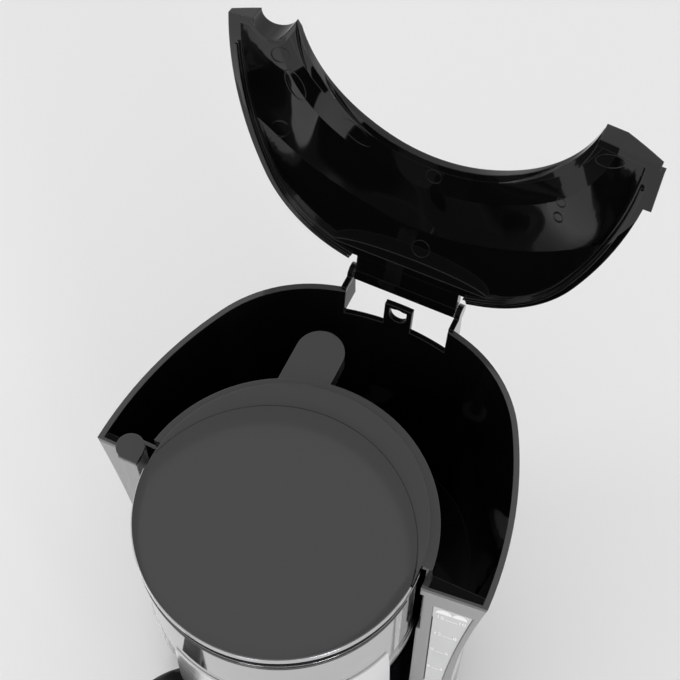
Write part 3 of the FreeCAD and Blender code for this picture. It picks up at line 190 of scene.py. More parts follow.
def add_bar(builder, size, place, round_off):
    """One bar with softened edges, placed by a matrix."""
    made = bmesh.ops.create_cube(builder, size=1.0, matrix=place @ Matrix.Diagonal((*size, 1)))
    edges = list({edge for corner in made["verts"] for edge in corner.link_edges})
    bmesh.ops.bevel(builder, geom=edges, offset=round_off, offset_type="OFFSET", affect="EDGES",
                    segments=2, profile=0.5, material=-1)


matt_black = finish("matt_black", (0.016, 0.016, 0.017), 0.48, grain=1600, height=0.35, wear_and_highlight=0.05)
rubber = finish("black_rubber", (0.012, 0.012, 0.012), 0.75, grain=1200, height=0.4)
dress(matt_black, "base_pan")
dress(rubber, "rubber_feet")
pan_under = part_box("base_pan")[0].z
rib_width, rib_height, rib_round = 0.0026, 0.0014, 0.0004
long_rib, cross_rib = 0.056, 0.074
first_rib, rib_spacing, ribs_middle = -0.032, 0.008, 0.05
pan_ribs = bmesh.new()
for step in range(9):
    rib_place = Matrix.Translation((first_rib + rib_spacing * step, ribs_middle, pan_under))
    add_bar(pan_ribs, (rib_width, long_rib, rib_height), rib_place, rib_round)
for y in (0.02, 0.08):
    rib_place = Matrix.Translation((0, y, pan_under))
    add_bar(pan_ribs, (cross_rib, rib_width, rib_height), rib_place, rib_round)
add_piece("pan_ribs", pan_ribs, matt_black, "stand", "black_matte")


# Base screws: four pan-head steel screws driven up through the pan into the housing's bosses.
# Each head's cross recess is drawn as flat dark bars, painted shade of the hollow.
def drawn_group():
    """The fine lines of drawn or rolled metal, as a roughness between two values."""
    group = bpy.data.node_groups.new("drawn_lines", "ShaderNodeTree")
    for name, kind in (
        ("Streak", "NodeSocketVector"), ("Smoothest", "NodeSocketFloat"), ("Roughest", "NodeSocketFloat"),
    ):
        group.interface.new_socket(name=name, in_out="INPUT", socket_type=kind)
    group.interface.new_socket(name="Roughness", in_out="OUTPUT", socket_type="NodeSocketFloat")
    tree, link = group.nodes, group.links.new
    inside, outside = tree.new("NodeGroupInput"), tree.new("NodeGroupOutput")
    place = tree.new("ShaderNodeTexCoord")
    stretch = tree.new("ShaderNodeVectorMath")
    stretch.operation = "MULTIPLY"
    lines = tree.new("ShaderNodeTexNoise")
    lines.inputs["Scale"].default_value = 6
    lines.inputs["Detail"].default_value = 4
    spread = tree.new("ShaderNodeMapRange")
    spread.inputs["From Min"].default_value = 0.3
    spread.inputs["From Max"].default_value = 0.7
    link(place.outputs["Object"], stretch.inputs[0])
    link(inside.outputs["Streak"], stretch.inputs[1])
    link(stretch.outputs["Vector"], lines.inputs["Vector"])
    link(lines.outputs["Fac"], spread.inputs["Value"])
    link(inside.outputs["Smoothest"], spread.inputs["To Min"])
    link(inside.outputs["Roughest"], spread.inputs["To Max"])
    link(spread.outputs["Result"], outside.inputs["Roughness"])
    return group


drawn_lines = drawn_group()


def steel_finish(name, colour, rough, streak=(3, 3, 220), uneven=0.15, height=0.05, edge=0.0005):
    """A metal whose fine drawn lines run along one axis of the piece."""
    material = finish(name, colour, rough, drift=0.12, uneven=uneven, height=height, edge=edge,
                      Metallic=1.0)
    tree = material.node_tree
    lines = tree.nodes.new("ShaderNodeGroup")
    lines.node_tree = drawn_lines
    lines.inputs["Streak"].default_value = streak
    lines.inputs["Smoothest"].default_value = rough * (1 - uneven)
    lines.inputs["Roughest"].default_value = rough * (1 + uneven)
    tree.links.new(lines.outputs["Roughness"], tree.nodes["Principled BSDF"].inputs["Roughness"])
    return material


plain_steel = steel_finish("plain_steel", (0.56, 0.56, 0.57), 0.32)
dress(plain_steel, "base_screws")
# The cross recesses are flat dark bars: painted shade, not cut hollows.
recess_painted_shade = finish("recess_painted_shade", (0.03, 0.03, 0.03), 0.6)
recess_slot, recess_round, recess_turn = (0.0038, 0.0009, 0.0002), 0.00005, 0.4
screw_recesses = bmesh.new()
for x, y in ((-0.08, 0.012), (0.08, 0.012), (-0.062, 0.09), (0.062, 0.09)):
    for turn in (recess_turn, recess_turn + math.pi / 2):
        spot = Matrix.Translation((x, y, pan_under)) @ Matrix.Rotation(turn, 4, "Z")
        add_bar(screw_recesses, recess_slot, spot, recess_round)
add_piece("screw_recesses", screw_recesses, recess_painted_shade, "stand", "black_matte")


# Base housing: a glossy black moulding that carries the hot plate and the column.
# The cord's rubber bush is pushed in at its rear.
shell_black = finish("gloss_black_shell", (0.01, 0.01, 0.011), 0.12, uneven=0.05, height=0.015,
                     ripple=0.03, edge=0.0012, wear_and_highlight=0.1)
dress(shell_black, "base_housing")
dress(rubber, "cord_inlet")

# Hot plate: pressed steel with a dark non-stick coat, lying on a silicone gasket.
# Fine turning rings show through the coat.
plate_coat = finish("non_stick_coat", (0.02, 0.02, 0.02), 0.4, drift=0.5, grain=2600, height=0.5)
plate_tree = plate_coat.node_tree
plate_place = plate_tree.nodes.new("ShaderNodeTexCoord")
plate_rings = plate_tree.nodes.new("ShaderNodeTexWave")
plate_rings.wave_type, plate_rings.rings_direction = "RINGS", "Z"
plate_rings.inputs["Scale"].default_value = 160
plate_lines = plate_tree.nodes.new("ShaderNodeBump")
plate_lines.inputs["Distance"].default_value = 0.0001
plate_lines.inputs["Strength"].default_value = 0.35
plate_tree.links.new(plate_place.outputs["Object"], plate_rings.inputs["Vector"])
plate_tree.links.new(plate_rings.outputs["Fac"], plate_lines.inputs["Height"])
plate_skin = plate_tree.nodes["Group"]
plate_tree.links.new(plate_skin.outputs["Normal"], plate_lines.inputs["Normal"])
plate_tree.links.new(plate_lines.outputs["Normal"], plate_tree.nodes["Principled BSDF"].inputs["Normal"])
silicone = finish("silicone", (0.55, 0.55, 0.54), 0.5, height=0.1)
dress(plate_coat, "hot_plate")
dress(silicone, "plate_gasket")

# Heater: a cast flow tube with its element, clamped under the hot plate by one nut.
# The thermostat and two thermal fuses sit against it, all hidden in the base.
cast_alloy = steel_finish("cast_alloy", (0.62, 0.62, 0.63), 0.5, streak=(60, 60, 60), height=0.4)
dress(cast_alloy, "flow_heater")
dress(plain_steel, "heating_element", "heater_clamp", "clamp_nut", "thermostat", "thermal_fuses")

# Column: the glossy black stem behind the carafe, hollow for the silicone hoses.
# The hoses join the tank's outlet and the riser to the heater.
dress(shell_black, "rear_column")
dress(silicone, "cold_water_hose", "hot_water_hose", "riser_grommet")

# Water tank: one deep black moulding, polished outside and dull inside, its rim top painted paler as a
# painted highlight.
# The strainer and check valve sit in its floor and the grey riser passes up through it.
tank_black = finish("tank_black", (0.003, 0.003, 0.0033), 0.06, uneven=0.04, height=0.01,
                    ripple=0.03, edge=0.0009, wear_and_highlight=0.12, Specular_IOR_Level=0.05, Coat_Roughness=0.06)
rim_height, rim_depth = 0.31, 0.0004
tank_middle = (0, 0.07, 0)
tank_tree = tank_black.node_tree
tank_place = tank_tree.nodes.new("ShaderNodeTexCoord")
tank_axes = tank_tree.nodes.new("ShaderNodeSeparateXYZ")
on_rim = tank_tree.nodes.new("ShaderNodeMath")
on_rim.operation = "COMPARE"
on_rim.inputs[1].default_value = rim_height
on_rim.inputs[2].default_value = rim_depth
from_middle = tank_tree.nodes.new("ShaderNodeVectorMath")
from_middle.operation = "MULTIPLY_ADD"
from_middle.inputs[1].default_value = (1, 1, 0)
from_middle.inputs[2].default_value = -Vector(tank_middle)
tank_face = tank_tree.nodes.new("ShaderNodeNewGeometry")
facing = tank_tree.nodes.new("ShaderNodeVectorMath")
facing.operation = "DOT_PRODUCT"
outside = tank_tree.nodes.new("ShaderNodeMath")
outside.operation = "GREATER_THAN"
outside.inputs[1].default_value = 0.02
polished = tank_tree.nodes.new("ShaderNodeMath")
polished.operation = "MAXIMUM"
# The rim's top is painted paler: a painted highlight of the light it catches.
rim_highlight_paint = tank_tree.nodes.new("ShaderNodeMix")
rim_highlight_paint.data_type = "RGBA"
rim_highlight_paint.inputs[7].default_value = (0.042, 0.042, 0.043, 1)
tank_shader = tank_tree.nodes["Principled BSDF"]
for start, end in (
    (tank_place.outputs["Object"], tank_axes.inputs[0]),
    (tank_axes.outputs["Z"], on_rim.inputs[0]),
    (tank_place.outputs["Object"], from_middle.inputs[0]),
    (from_middle.outputs["Vector"], facing.inputs[0]),
    (tank_face.outputs["Normal"], facing.inputs[1]),
    (facing.outputs["Value"], outside.inputs[0]),
    (outside.outputs[0], polished.inputs[0]),
    (on_rim.outputs[0], polished.inputs[1]),
    (polished.outputs[0], tank_shader.inputs["Coat Weight"]),
    (on_rim.outputs[0], rim_highlight_paint.inputs[0]),
    (tank_tree.nodes["Group"].outputs["Colour"], rim_highlight_paint.inputs[6]),
    (rim_highlight_paint.outputs[2], tank_shader.inputs["Base Color"]),
):
    tank_tree.links.new(start, end)
water_grey = finish("water_grey", (0.3, 0.3, 0.31), 0.4)
dress(tank_black, "water_tank")
dress(water_grey, "tank_strainer", "check_valve", "riser_tube")

# Front panels: two facings in satin silver paint, clipped to the tank and column.
# The paint has fine flakes and a thin clear coat.
silver_paint = finish("silver_paint", (0.32, 0.32, 0.325), 0.36, drift=0.08, uneven=0.08, grain=5200,
                      height=0.12, edge=0.0012, Metallic=0.6, Coat_Weight=0.25, Coat_Roughness=0.2)
dress(silver_paint, "right_front_panel", "left_front_panel")


# Gauge window: a frosted acrylic insert in the right panel, sealed against the tank by rubber.
# Its scale of figures, lines and two cups is printed in white on the front.
# A dark strip along its left edge is painted shade of the gap there.
def skin_of(node):
    """A solid's surface, for finding where a mark lies on it."""
    mesh = nodes[node].data
    return BVHTree.FromPolygons([v.co for v in mesh.vertices], [p.vertices[:] for p in mesh.polygons])


def add_figures(builder, word, height, narrow, place):
    """Figures for printing, made a mesh and then placed by a matrix."""
    script = bpy.data.curves.new("figures", "FONT")
    script.body, script.size, script.align_x = word, height, "CENTER"
    script.extrude = 0.00006
    writing = bpy.data.objects.new("figures", script)
    flat = bpy.data.meshes.new_from_object(writing)
    flat.transform(place @ Matrix.Rotation(math.pi / 2, 4, "X") @ Matrix.Diagonal((narrow, 1, 1, 1)))
    builder.from_mesh(flat)
    bpy.data.objects.remove(writing)
    bpy.data.curves.remove(script)
    bpy.data.meshes.remove(flat)


frosted = finish("frosted_acrylic", (0.57, 0.575, 0.58), 0.25, drift=0.06, grain=2400, height=0.15,
                 IOR=1.49, Coat_Weight=0.3, Coat_Roughness=0.1)
dress(frosted, "gauge_window")
dress(rubber, "window_seal")
white_print = finish("white_print", (0.9, 0.9, 0.9), 0.45, drift=0.06, edge=0.0)
window_skin = skin_of("gauge_window")
window_turn = Matrix.Rotation(math.atan(3.7 / 33.5), 4, "Z")


def on_window(x, z):
    """A place on the window's front, as a matrix turned to lie along it."""
    front = window_skin.ray_cast(Vector((x, -0.1, z)), Vector((0, 1, 0)))[0]
    return Matrix.Translation(front) @ window_turn


figure_height, figure_width = 0.0062, 0.72
line_thick, line_lift, line_round = 0.0007, 0.0004, 0.00003
print_thick = 0.00012
gauge_scale = bmesh.new()
for z, left, left_x, line, right, right_x in (
    (0.2745, "15", 0.0860, (0.0885, 0.0950), "10", 0.0973),
    (0.2490, "12", 0.0858, (0.0882, 0.0938), "8", 0.0953),
    (0.2215, "9", 0.0845, (0.0862, 0.0912), "6", 0.0926),
    (0.1915, "6", 0.0842, (0.0858, 0.0898), "4", 0.0911),
):
    add_figures(gauge_scale, left, figure_height, figure_width, on_window(left_x, z))
    add_figures(gauge_scale, right, figure_height, figure_width, on_window(right_x, z))
    add_bar(gauge_scale, (line[1] - line[0], print_thick, line_thick),
            on_window((line[0] + line[1]) / 2, z + line_lift), line_round)
cup_foot, cup_height, cup_thick = 0.2822, 0.0056, 0.0001
for x, width in ((0.0874, 0.0086), (0.0957, 0.0078)):
    cup_place = on_window(x, cup_foot)
    made = bmesh.ops.create_circle(gauge_scale, cap_ends=True, segments=24, radius=1.0)
    bmesh.ops.rotate(gauge_scale, verts=made["verts"], matrix=Matrix.Rotation(math.pi / 2, 4, "X"))
    bmesh.ops.scale(gauge_scale, verts=made["verts"], vec=(width / 2, 1, cup_height))
    rounds = list({edge for corner in made["verts"] for edge in corner.link_edges})
    discs = list({face for corner in made["verts"] for face in corner.link_faces})
    bmesh.ops.bisect_plane(gauge_scale, geom=made["verts"] + rounds + discs,
                           plane_co=(0, 0, 0), plane_no=(0, 0, 1), clear_inner=True)
    half = [corner for corner in gauge_scale.verts
            if abs(corner.co.y) < 0.00001 and abs(corner.co.x) < 0.02]
    flat = list({face for corner in half for face in corner.link_faces})
    bowl = bmesh.ops.extrude_face_region(gauge_scale, geom=flat)
    lifted = [item for item in bowl["geom"] if isinstance(item, bmesh.types.BMVert)]
    bmesh.ops.translate(gauge_scale, verts=lifted, vec=(0, -cup_thick, 0))
    bmesh.ops.transform(gauge_scale, verts=list(set(half + lifted)), matrix=cup_place)
bmesh.ops.recalc_face_normals(gauge_scale, faces=gauge_scale.faces)
add_piece("gauge_scale", gauge_scale, white_print, "stand", "silver_paint")
# The dark strip along the window's left edge is painted shade of the gap, in the rubber finish.
reveal_size, reveal_round = (0.0008, 0.0003, 0.108), 0.0001
window_lean = Matrix.Rotation(-0.0076, 4, "Y")
window_gap_shade = bmesh.new()
add_bar(window_gap_shade, reveal_size, on_window(0.08235, 0.2205) @ window_lean, reveal_round)
add_piece("window_gap_shade", window_gap_shade, rubber, "stand", "rubber")


# Power switch: a glossy rocker in a matt frame, with a red pilot lens above it.
# The rocker's two ends carry the plain line and ring of any switch.
def add_ring(builder, place, radius, tube, squeeze=1.0):
    """A thin raised ring, round or drawn out to an oval, placed by a matrix."""
    made = bmesh.ops.create_circle(
        builder, segments=8, radius=tube,
        matrix=Matrix.Translation((radius, 0, 0)) @ Matrix.Rotation(math.pi / 2, 4, "X"))
    loop = made["verts"] + list({edge for corner in made["verts"] for edge in corner.link_edges})
    before = set(builder.verts) - set(made["verts"])
    bmesh.ops.spin(builder, geom=loop, cent=(0, 0, 0), axis=(0, 0, 1), angle=2 * math.pi, steps=36,
                   use_merge=True)
    ring = [corner for corner in builder.verts if corner not in before]
    bmesh.ops.scale(builder, verts=ring, vec=(squeeze, 1, 1))
    bmesh.ops.transform(builder, verts=ring, matrix=place)


lens_red = finish("lens_red", (0.4, 0.02, 0.015), 0.12, Transmission_Weight=0.2)
dress(matt_black, "switch_bezel")
dress(shell_black, "switch_rocker")
dress(lens_red, "pilot_lens")
rocker_skin = skin_of("switch_rocker")


def on_face(skin, start, direction):
    """Where a straight line from start meets a surface, as a matrix with Z out of that surface."""
    spot, normal = skin.ray_cast(Vector(start), Vector(direction))[:2]
    return Matrix.Translation(spot) @ normal.to_track_quat("Z", "Y").to_matrix().to_4x4()


rocker_middle, ring_height, line_height = 0.086, 0.0645, 0.0755
rearward = (0, 1, 0)
switch_marks = bmesh.new()
ring_place = on_face(rocker_skin, (rocker_middle, -0.1, ring_height), rearward)
line_place = on_face(rocker_skin, (rocker_middle, -0.1, line_height), rearward)
add_ring(switch_marks, ring_place, 0.0015, 0.00018)
add_bar(switch_marks, (0.0004, 0.0034, 0.0002), line_place, 0.00005)
bmesh.ops.recalc_face_normals(switch_marks, faces=switch_marks.faces)
add_piece("switch_marks", switch_marks, white_print, "switch_rocker", "silver_paint")


# Brew head: the fixed hood with the lid's seat and the tongue over the spray arm.
# A glossy cover is snapped into it, with a black bead in the seam as painted shade of the gap, and a
# bright plated ring round its front.
# The shower head hangs below it on the spray arm.
def shallow_group():
    """Shades faces that slope gently from a main direction as if they sloped less."""
    group = bpy.data.node_groups.new("shallow_slope", "ShaderNodeTree")
    for name, kind in (
        ("Normal", "NodeSocketVector"), ("Main", "NodeSocketVector"), ("Strength", "NodeSocketFloat"),
    ):
        group.interface.new_socket(name=name, in_out="INPUT", socket_type=kind)
    group.interface.new_socket(name="Normal", in_out="OUTPUT", socket_type="NodeSocketVector")
    tree, link = group.nodes, group.links.new
    inside, outside = tree.new("NodeGroupInput"), tree.new("NodeGroupOutput")
    own = tree.new("ShaderNodeVectorTransform")
    own.vector_type, own.convert_from, own.convert_to = "NORMAL", "WORLD", "OBJECT"
    back = tree.new("ShaderNodeVectorTransform")
    back.vector_type, back.convert_from, back.convert_to = "NORMAL", "OBJECT", "WORLD"
    lean = tree.new("ShaderNodeVectorMath")
    lean.operation = "DOT_PRODUCT"
    gentle = tree.new("ShaderNodeMapRange")
    gentle.inputs["From Min"].default_value = 0.4
    gentle.inputs["From Max"].default_value = 0.75
    pull = tree.new("ShaderNodeVectorMath")
    pull.operation = "SCALE"
    levelled = tree.new("ShaderNodeVectorMath")
    levelled.operation = "ADD"
    unit = tree.new("ShaderNodeVectorMath")
    unit.operation = "NORMALIZE"
    link(inside.outputs["Normal"], own.inputs[0])
    link(own.outputs[0], lean.inputs[0])
    link(inside.outputs["Main"], lean.inputs[1])
    link(lean.outputs["Value"], gentle.inputs["Value"])
    link(inside.outputs["Strength"], gentle.inputs["To Max"])
    link(inside.outputs["Main"], pull.inputs[0])
    link(gentle.outputs["Result"], pull.inputs["Scale"])
    link(own.outputs[0], levelled.inputs[0])
    link(pull.outputs["Vector"], levelled.inputs[1])
    link(levelled.outputs["Vector"], unit.inputs[0])
    link(unit.outputs["Vector"], back.inputs[0])
    link(back.outputs[0], outside.inputs["Normal"])
    return group


shallow_slope = shallow_group()


def level_off(material, main, strength):
    """Puts the shallow slope between a finish's skin and its shader, and returns the slope's node."""
    tree = material.node_tree
    slope = tree.nodes.new("ShaderNodeGroup")
    slope.node_tree = shallow_slope
    slope.inputs["Main"].default_value = main
    slope.inputs["Strength"].default_value = strength
    tree.links.new(tree.nodes["Group"].outputs["Normal"], slope.inputs["Normal"])
    tree.links.new(slope.outputs["Normal"], tree.nodes["Principled BSDF"].inputs["Normal"])
    return slope


cover_black = finish("cover_black", (0.024, 0.024, 0.025), 0.06, drift=0.05, uneven=0.03, height=0.008,
                     edge=0.0008, wear_and_highlight=0.06)
level_off(cover_black, (0, 0, 1), 22)
hood_black = finish("hood_black", (0.03, 0.03, 0.031), 0.07, drift=0.08, uneven=0.04, height=0.012,
                    ripple=0.03, edge=0.0008, wear_and_highlight=0.1)
bright_trim = steel_finish("bright_trim", (0.5, 0.5, 0.51), 0.1, edge=0.0006)
dress(cover_black, "brew_cover")
dress(hood_black, "brew_hood")
dress(bright_trim, "trim_ring")
dress(water_grey, "spray_arm", "shower_head")


def add_arc(builder, centre, radius, tube, start, sweep):
    """A round bead along part of a level circle, closed at both ends; the angles are in degrees."""
    before = set(builder.verts)
    first = Matrix.Rotation(math.radians(start), 4, "Z") @ Matrix.Translation((radius, 0, 0))
    made = bmesh.ops.create_circle(
        builder, segments=10, radius=tube,
        matrix=Matrix.Translation(centre) @ first @ Matrix.Rotation(math.pi / 2, 4, "X"))
    loop = made["verts"] + list({edge for corner in made["verts"] for edge in corner.link_edges})
    bmesh.ops.spin(builder, geom=loop, cent=centre, axis=(0, 0, 1), angle=math.radians(sweep), steps=96)
    bead = [corner for corner in builder.verts if corner not in before]
    ends = list({edge for corner in bead for edge in corner.link_edges if edge.is_boundary})
    bmesh.ops.holes_fill(builder, edges=ends, sides=10)
    skin = list({face for corner in bead for face in corner.link_faces})
    bmesh.ops.recalc_face_normals(builder, faces=skin)


# A black bead laid in the seam between cover and hood is painted shade of the gap.
seam_painted_shade = finish("seam_painted_shade", (0.002, 0.002, 0.002), 0.5)
seam_middle, seam_radius, seam_line = (0, -0.0162, 0.3294), 0.0725, 0.00028
cover_seam = bmesh.new()
add_arc(cover_seam, seam_middle, seam_radius, seam_line, 14, 152)
add_piece("cover_seam", cover_seam, seam_painted_shade, "stand", "black_matte")

# Filter holder hinge: a silver barrel with a glossy cap that turns on a fixed steel pin.
# Two short arms tie the barrel to the holder's sleeve.
dress(hood_black, "hinge_post_cap")
dress(silver_paint, "hinge_barrel")
dress(plain_steel, "holder_hinge_pin")

# Filter holder: a mirror-polished steel sleeve with a hemmed foot over a black plastic cone.
# The pull grip is a steel band spot-welded to the sleeve's front; a black ring closes the foot.
# Two black beads run round the sleeve's top, a thick one and a fine one below it, giving the dark bands
# there.
polished_steel = steel_finish("polished_steel", (0.5, 0.5, 0.505), 0.06, streak=(4, 4, 260), uneven=0.3,
                              height=0.01)
filter_black = finish("filter_black", (0.02, 0.02, 0.021), 0.4)
grip_satin = steel_finish("grip_satin", (0.84, 0.84, 0.845), 0.22, streak=(4, 4, 320), uneven=0.2)
dress(polished_steel, "holder_shell")
dress(grip_satin, "holder_grip")
dress(shell_black, "holder_base_ring")
dress(filter_black, "filter_holder")
bead_start, bead_sweep = 188, 164
sleeve_top_beads = bmesh.new()
for height, radius, thick in ((0.3147, 0.0712, 0.0014), (0.3119, 0.0718, 0.0004)):
    add_arc(sleeve_top_beads, (0, 0, height), radius, thick, bead_start, bead_sweep)
add_piece("sleeve_top_beads", sleeve_top_beads, shell_black, "filter_holder", "black_matte")

# Filter basket: a black plastic cone that hangs in the holder on its rim.
# Ribs inside keep the paper off the wall so that it drains.
dress(filter_black, "filter_basket")
cone_low, cone_high = Vector((0.0224, 0, 0.2336)), Vector((0.0642, 0, 0.3036))
cone_line = cone_high - cone_low
cone_lean = Matrix.Rotation(math.atan2(cone_line.x, cone_line.z), 4, "Y")
on_cone = Matrix.Translation((cone_low + cone_high) / 2) @ cone_lean
rib_count = 20
basket_ribs = bmesh.new()
for step in range(rib_count):
    round_cone = Matrix.Rotation(math.tau * step / rib_count, 4, "Z")
    add_bar(basket_ribs, (0.0016, 0.001, cone_line.length * 0.9), round_cone @ on_cone, 0.0003)
add_piece("basket_ribs", basket_ribs, filter_black, "filter_holder", "filter_plastic")

# Drip valve: a grey plunger with a silicone washer that shuts the holder's outlet.
# The carafe's lid pushes it up.
dress(water_grey, "drip_valve")
dress(silicone, "valve_washer")

# Tank lid: a thin glossy black moulding, hollow below, on a steel pin between the tank's ears.
# Its inside shows waves from moulding round the bay, the ejector's rings and drawn-out gate marks.
hinge = Vector((0, 0.1503, 0.3127))
swing = Matrix.Rotation(math.radians(-99.6), 4, "X")
opening = Matrix.Translation(hinge) @ swing @ Matrix.Translation(-hinge)
lid_inward = (0, -0.986, 0.167)
bay_in_lid = (0, 0, 0.461)
lid_black = finish("lid_black", (0.0022, 0.0022, 0.0025), 0.05, uneven=0.04, height=0.008, ripple=0.06,
                   edge=0.0009, wear_and_highlight=0.05, Specular_IOR_Level=0.4)
lid_slope = level_off(lid_black, lid_inward, 4)
lid_tree = lid_black.node_tree
lid_place = lid_tree.nodes.new("ShaderNodeTexCoord")
lid_plan = lid_tree.nodes.new("ShaderNodeVectorMath")
lid_plan.operation = "MULTIPLY"
lid_plan.inputs[1].default_value = (1, 0, 1)
lid_reach = lid_tree.nodes.new("ShaderNodeVectorMath")
lid_reach.operation = "DISTANCE"
lid_reach.inputs[1].default_value = bay_in_lid
near_bay = lid_tree.nodes.new("ShaderNodeMapRange")
near_bay.inputs["From Min"].default_value = 0.112
near_bay.inputs["From Max"].default_value = 0.088
lid_flow = lid_tree.nodes.new("ShaderNodeTexNoise")
lid_flow.inputs["Scale"].default_value = 13
lid_flow.inputs["Detail"].default_value = 0.5
lid_flow.inputs["Distortion"].default_value = 0.8
lid_shift = lid_tree.nodes.new("ShaderNodeMapping")
lid_shift.inputs["Location"].default_value = (1.5, 0, 0.7)
lid_swirl = lid_tree.nodes.new("ShaderNodeMath")
lid_swirl.operation = "MULTIPLY"
lid_waves = lid_tree.nodes.new("ShaderNodeBump")
lid_waves.inputs["Distance"].default_value = 0.012
for start, end in (
    (lid_place.outputs["Object"], lid_plan.inputs[0]),
    (lid_plan.outputs["Vector"], lid_reach.inputs[0]),
    (lid_reach.outputs["Value"], near_bay.inputs["Value"]),
    (lid_place.outputs["Object"], lid_shift.inputs["Vector"]),
    (lid_shift.outputs["Vector"], lid_flow.inputs["Vector"]),
    (lid_flow.outputs["Fac"], lid_swirl.inputs[0]),
    (near_bay.outputs["Result"], lid_swirl.inputs[1]),
    (lid_swirl.outputs[0], lid_waves.inputs["Height"]),
    (lid_slope.outputs["Normal"], lid_waves.inputs["Normal"]),
    (lid_waves.outputs["Normal"], lid_tree.nodes["Principled BSDF"].inputs["Normal"]),
):
    lid_tree.links.new(start, end)
dress(lid_black, "tank_lid")
dress(plain_steel, "lid_hinge_pin")
lid_skin = skin_of("tank_lid")


def in_lid(x, y, turn=0.0):
    """A place on the lid's inside, from its plan position with the lid shut."""
    below = opening @ Vector((x, y, 0.29))
    outward = opening.to_3x3() @ Vector((0, 0, 1))
    return on_face(lid_skin, below, outward) @ Matrix.Rotation(turn, 4, "Z")


mark_thick, mark_draw = 0.00025, 2.4
lid_marks = bmesh.new()
for x, y, radius in (
    (-0.0815, 0.0725, 0.005), (0.0005, 0.0765, 0.0042), (0.0022, 0.122, 0.005),
    (-0.0843, 0.0271, 0.0045), (0.0671, 0.0582, 0.0026), (0.0678, 0.0674, 0.0026),
):
    add_ring(lid_marks, in_lid(x, y), radius, mark_thick)
for x, y, radius, turn in (
    (-0.0435, 0.066, 0.0042, 2.5), (0.0843, 0.0198, 0.0035, 0.6), (-0.076, 0.044, 0.004, 2.0),
):
    add_ring(lid_marks, in_lid(x, y, turn), radius, mark_thick, mark_draw)
bmesh.ops.recalc_face_normals(lid_marks, faces=lid_marks.faces)
add_piece("lid_marks", lid_marks, lid_black, "tank_lid", "black_gloss")

# Carafe: blown clear glass with a steel collar that is drawn tight by one screw.
# Level marks and figures are printed on it in white.
clear_glass = finish("clear_glass", (0.95, 0.97, 0.97), 0.02, drift=0.02, uneven=0.02, height=0.02,
                     edge=0.0, Transmission_Weight=1.0, IOR=1.47)
dress(clear_glass, "carafe_glass")
dress(polished_steel, "carafe_collar")
dress(plain_steel, "handle_screw")
glass_skin = skin_of("carafe_glass")
marks_turn = math.radians(22)
glass_side = Vector((math.sin(marks_turn), -math.cos(marks_turn), 0))
beside_line = Matrix.Translation((0.009, -0.0004, -0.002))
level_marks = bmesh.new()
for z, word in ((0.068, "4"), (0.086, "6"), (0.103, "8"), (0.119, "10")):
    spot = glass_skin.ray_cast(glass_side * 0.2 + Vector((0, 0, z)), -glass_side)[0]
    upright = Matrix.Translation(spot) @ Matrix.Rotation(marks_turn, 4, "Z")
    add_bar(level_marks, (0.009, 0.0003, 0.0007), upright, 0.0001)
    add_figures(level_marks, word, 0.006, 0.85, upright @ beside_line)
add_piece("level_marks", level_marks, white_print, "carafe", "silver_paint")


# Carafe handle: one thick black moulding with smooth bends, rounded all over.
# Its root is screwed to the collar and its free end hangs beside the glass.
def run_on(builder, face, way):
    """Draws a bar's end face straight on and returns the new end."""
    grown = bmesh.ops.extrude_face_region(builder, geom=[face])["geom"]
    corners = [item for item in grown if isinstance(item, bmesh.types.BMVert)]
    bmesh.ops.translate(builder, verts=corners, vec=way)
    return next(item for item in grown if isinstance(item, bmesh.types.BMFace))


def bend_on(builder, face, centre, angle, steps):
    """Turns a bar's end face about a crosswise axis and returns the new end."""
    grown = bmesh.ops.spin(builder, geom=[face], cent=centre, axis=(0, 1, 0), angle=angle, steps=steps)
    return next(item for item in grown["geom_last"] if isinstance(item, bmesh.types.BMFace))


handle_thick, handle_wide, handle_round = 0.013, 0.02, 0.004
handle_side = Matrix.Rotation(math.radians(-120), 3, "Z")
at_collar = Matrix.Translation((0.0478, 0, 0.1688)) @ Matrix.Rotation(math.pi / 2, 4, "Y")
handle_bar = bmesh.new()
root = bmesh.ops.create_grid(handle_bar, x_segments=1, y_segments=1, size=0.5,
                             matrix=at_collar @ Matrix.Diagonal((handle_thick, handle_wide, 1, 1)))
end = root["verts"][0].link_faces[0]
end = run_on(handle_bar, end, (0.0098, 0, 0))
end = bend_on(handle_bar, end, (0.0576, 0, 0.1828), -math.pi / 4, 6)
end = run_on(handle_bar, end, (0.0085, 0, 0.0085))
end = bend_on(handle_bar, end, (0.0859, 0, 0.1715), math.pi / 4, 6)
end = bend_on(handle_bar, end, (0.0859, 0, 0.1659), math.radians(94), 12)
end = run_on(handle_bar, end, (-0.0056, 0, -0.08))
end = run_on(handle_bar, end, (-0.0004, 0, -0.006))
bmesh.ops.recalc_face_normals(handle_bar, faces=handle_bar.faces)
long_edges = [edge for edge in handle_bar.edges if edge.calc_face_angle(0) > 0.8]
bmesh.ops.bevel(handle_bar, geom=long_edges, offset=handle_round, offset_type="OFFSET", affect="EDGES",
                segments=4, profile=0.5, material=-1)
bmesh.ops.rotate(handle_bar, verts=handle_bar.verts, matrix=handle_side)
add_piece("handle_bar", handle_bar, matt_black, "carafe", "black_matte", "carafe_handle")

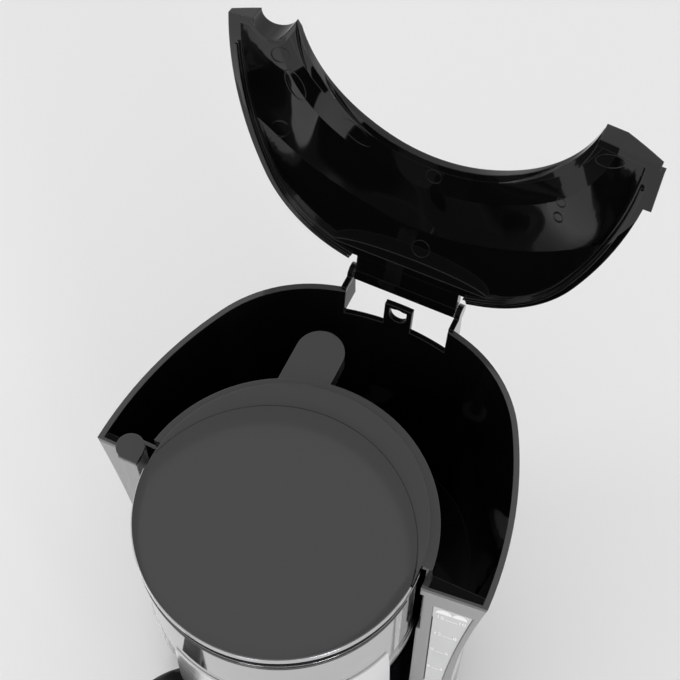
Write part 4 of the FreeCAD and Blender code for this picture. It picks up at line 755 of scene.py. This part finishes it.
# Carafe lid: a black push-in lid with a rounded rim and a hole for the coffee.
# The drip valve is lifted by its raised middle.
rim_start, rim_round = 0.18, 0.0012
lid_cap = bmesh.new()
lid_cap.from_mesh(nodes["carafe_lid"].data)
bmesh.ops.remove_doubles(lid_cap, verts=lid_cap.verts, dist=0.00001)
bmesh.ops.dissolve_limit(lid_cap, angle_limit=0.01, verts=lid_cap.verts, edges=lid_cap.edges)
upper_edges = [edge for edge in lid_cap.edges
               if edge.is_manifold and edge.calc_face_angle() > 0.6 and edge.verts[0].co.z > rim_start]
bmesh.ops.bevel(lid_cap, geom=upper_edges, offset=rim_round, offset_type="OFFSET", affect="EDGES",
                segments=4, profile=0.5, material=-1, clamp_overlap=True)
add_piece("lid_cap", lid_cap, matt_black, "carafe_lid", "black_matte", "carafe_lid")

# Studio: a pale floor in an even, pale surround, three soft boxes at the front and a round one overhead.
# The camera stands where the photograph was taken, looking steeply down from the right of the front.
floor_mesh = bpy.data.meshes.new("studio_floor")
builder = bmesh.new()
bmesh.ops.create_grid(builder, x_segments=1, y_segments=1, size=3.0)
builder.to_mesh(floor_mesh)
builder.free()
floor = bpy.data.objects.new("studio_floor", floor_mesh)
bpy.context.scene.collection.objects.link(floor)
floor_paint = bpy.data.materials.new("floor_paint")
floor_paint.use_nodes = True
floor_shader = floor_paint.node_tree.nodes["Principled BSDF"]
floor_shader.inputs["Base Color"].default_value = (0.87, 0.87, 0.87, 1)
floor_shader.inputs["Roughness"].default_value = 0.8
floor_mesh.materials.append(floor_paint)


def soft_box(name, shape, place, aim, side, power):
    """An area lamp of one size and power, turned to face a point."""
    lamp = bpy.data.lights.new(name, "AREA")
    lamp.shape, lamp.size, lamp.energy = shape, side, power
    holder = bpy.data.objects.new(name, lamp)
    bpy.context.scene.collection.objects.link(holder)
    holder.location = place
    holder.rotation_euler = (Vector(aim) - Vector(place)).to_track_quat("-Z", "Y").to_euler()


machine_middle = (0, 0.03, 0.25)
soft_box("right_soft_box", "SQUARE", (1.4, -1.3, 1.1), machine_middle, 0.5, 8)
soft_box("left_soft_box", "SQUARE", (-1.5, -1.0, 0.7), machine_middle, 0.6, 6)
soft_box("front_soft_box", "SQUARE", (0.3, -2.2, 0.3), (0, 0.15, 0.38), 0.45, 2.8)
soft_box("round_soft_box", "DISK", (-0.495, 0.673, 2.6), (-0.495, 0.673, 0), 0.726, 0.454)
world = bpy.data.worlds.new("studio_surround")
world.use_nodes = True
world.node_tree.nodes["Background"].inputs["Color"].default_value = (0.85, 0.85, 0.85, 1)
bpy.context.scene.world = world

lens = bpy.data.cameras.new("photo_camera")
lens.lens, lens.sensor_width, lens.clip_end = 73.46, 36.0, 20.0
camera = bpy.data.objects.new("photo_camera", lens)
bpy.context.scene.collection.objects.link(camera)
right = Vector((0.90393, 0.42764, -0.00541))
upward = Vector((-0.36785, 0.78386, 0.50025))
turned = Matrix((right, upward, right.cross(upward))).transposed().to_4x4()
camera.matrix_world = Matrix.Translation((0.14129, -0.22396, 0.9502)) @ turned
bpy.context.scene.camera = camera
bpy.context.scene.view_settings.view_transform = "Standard"
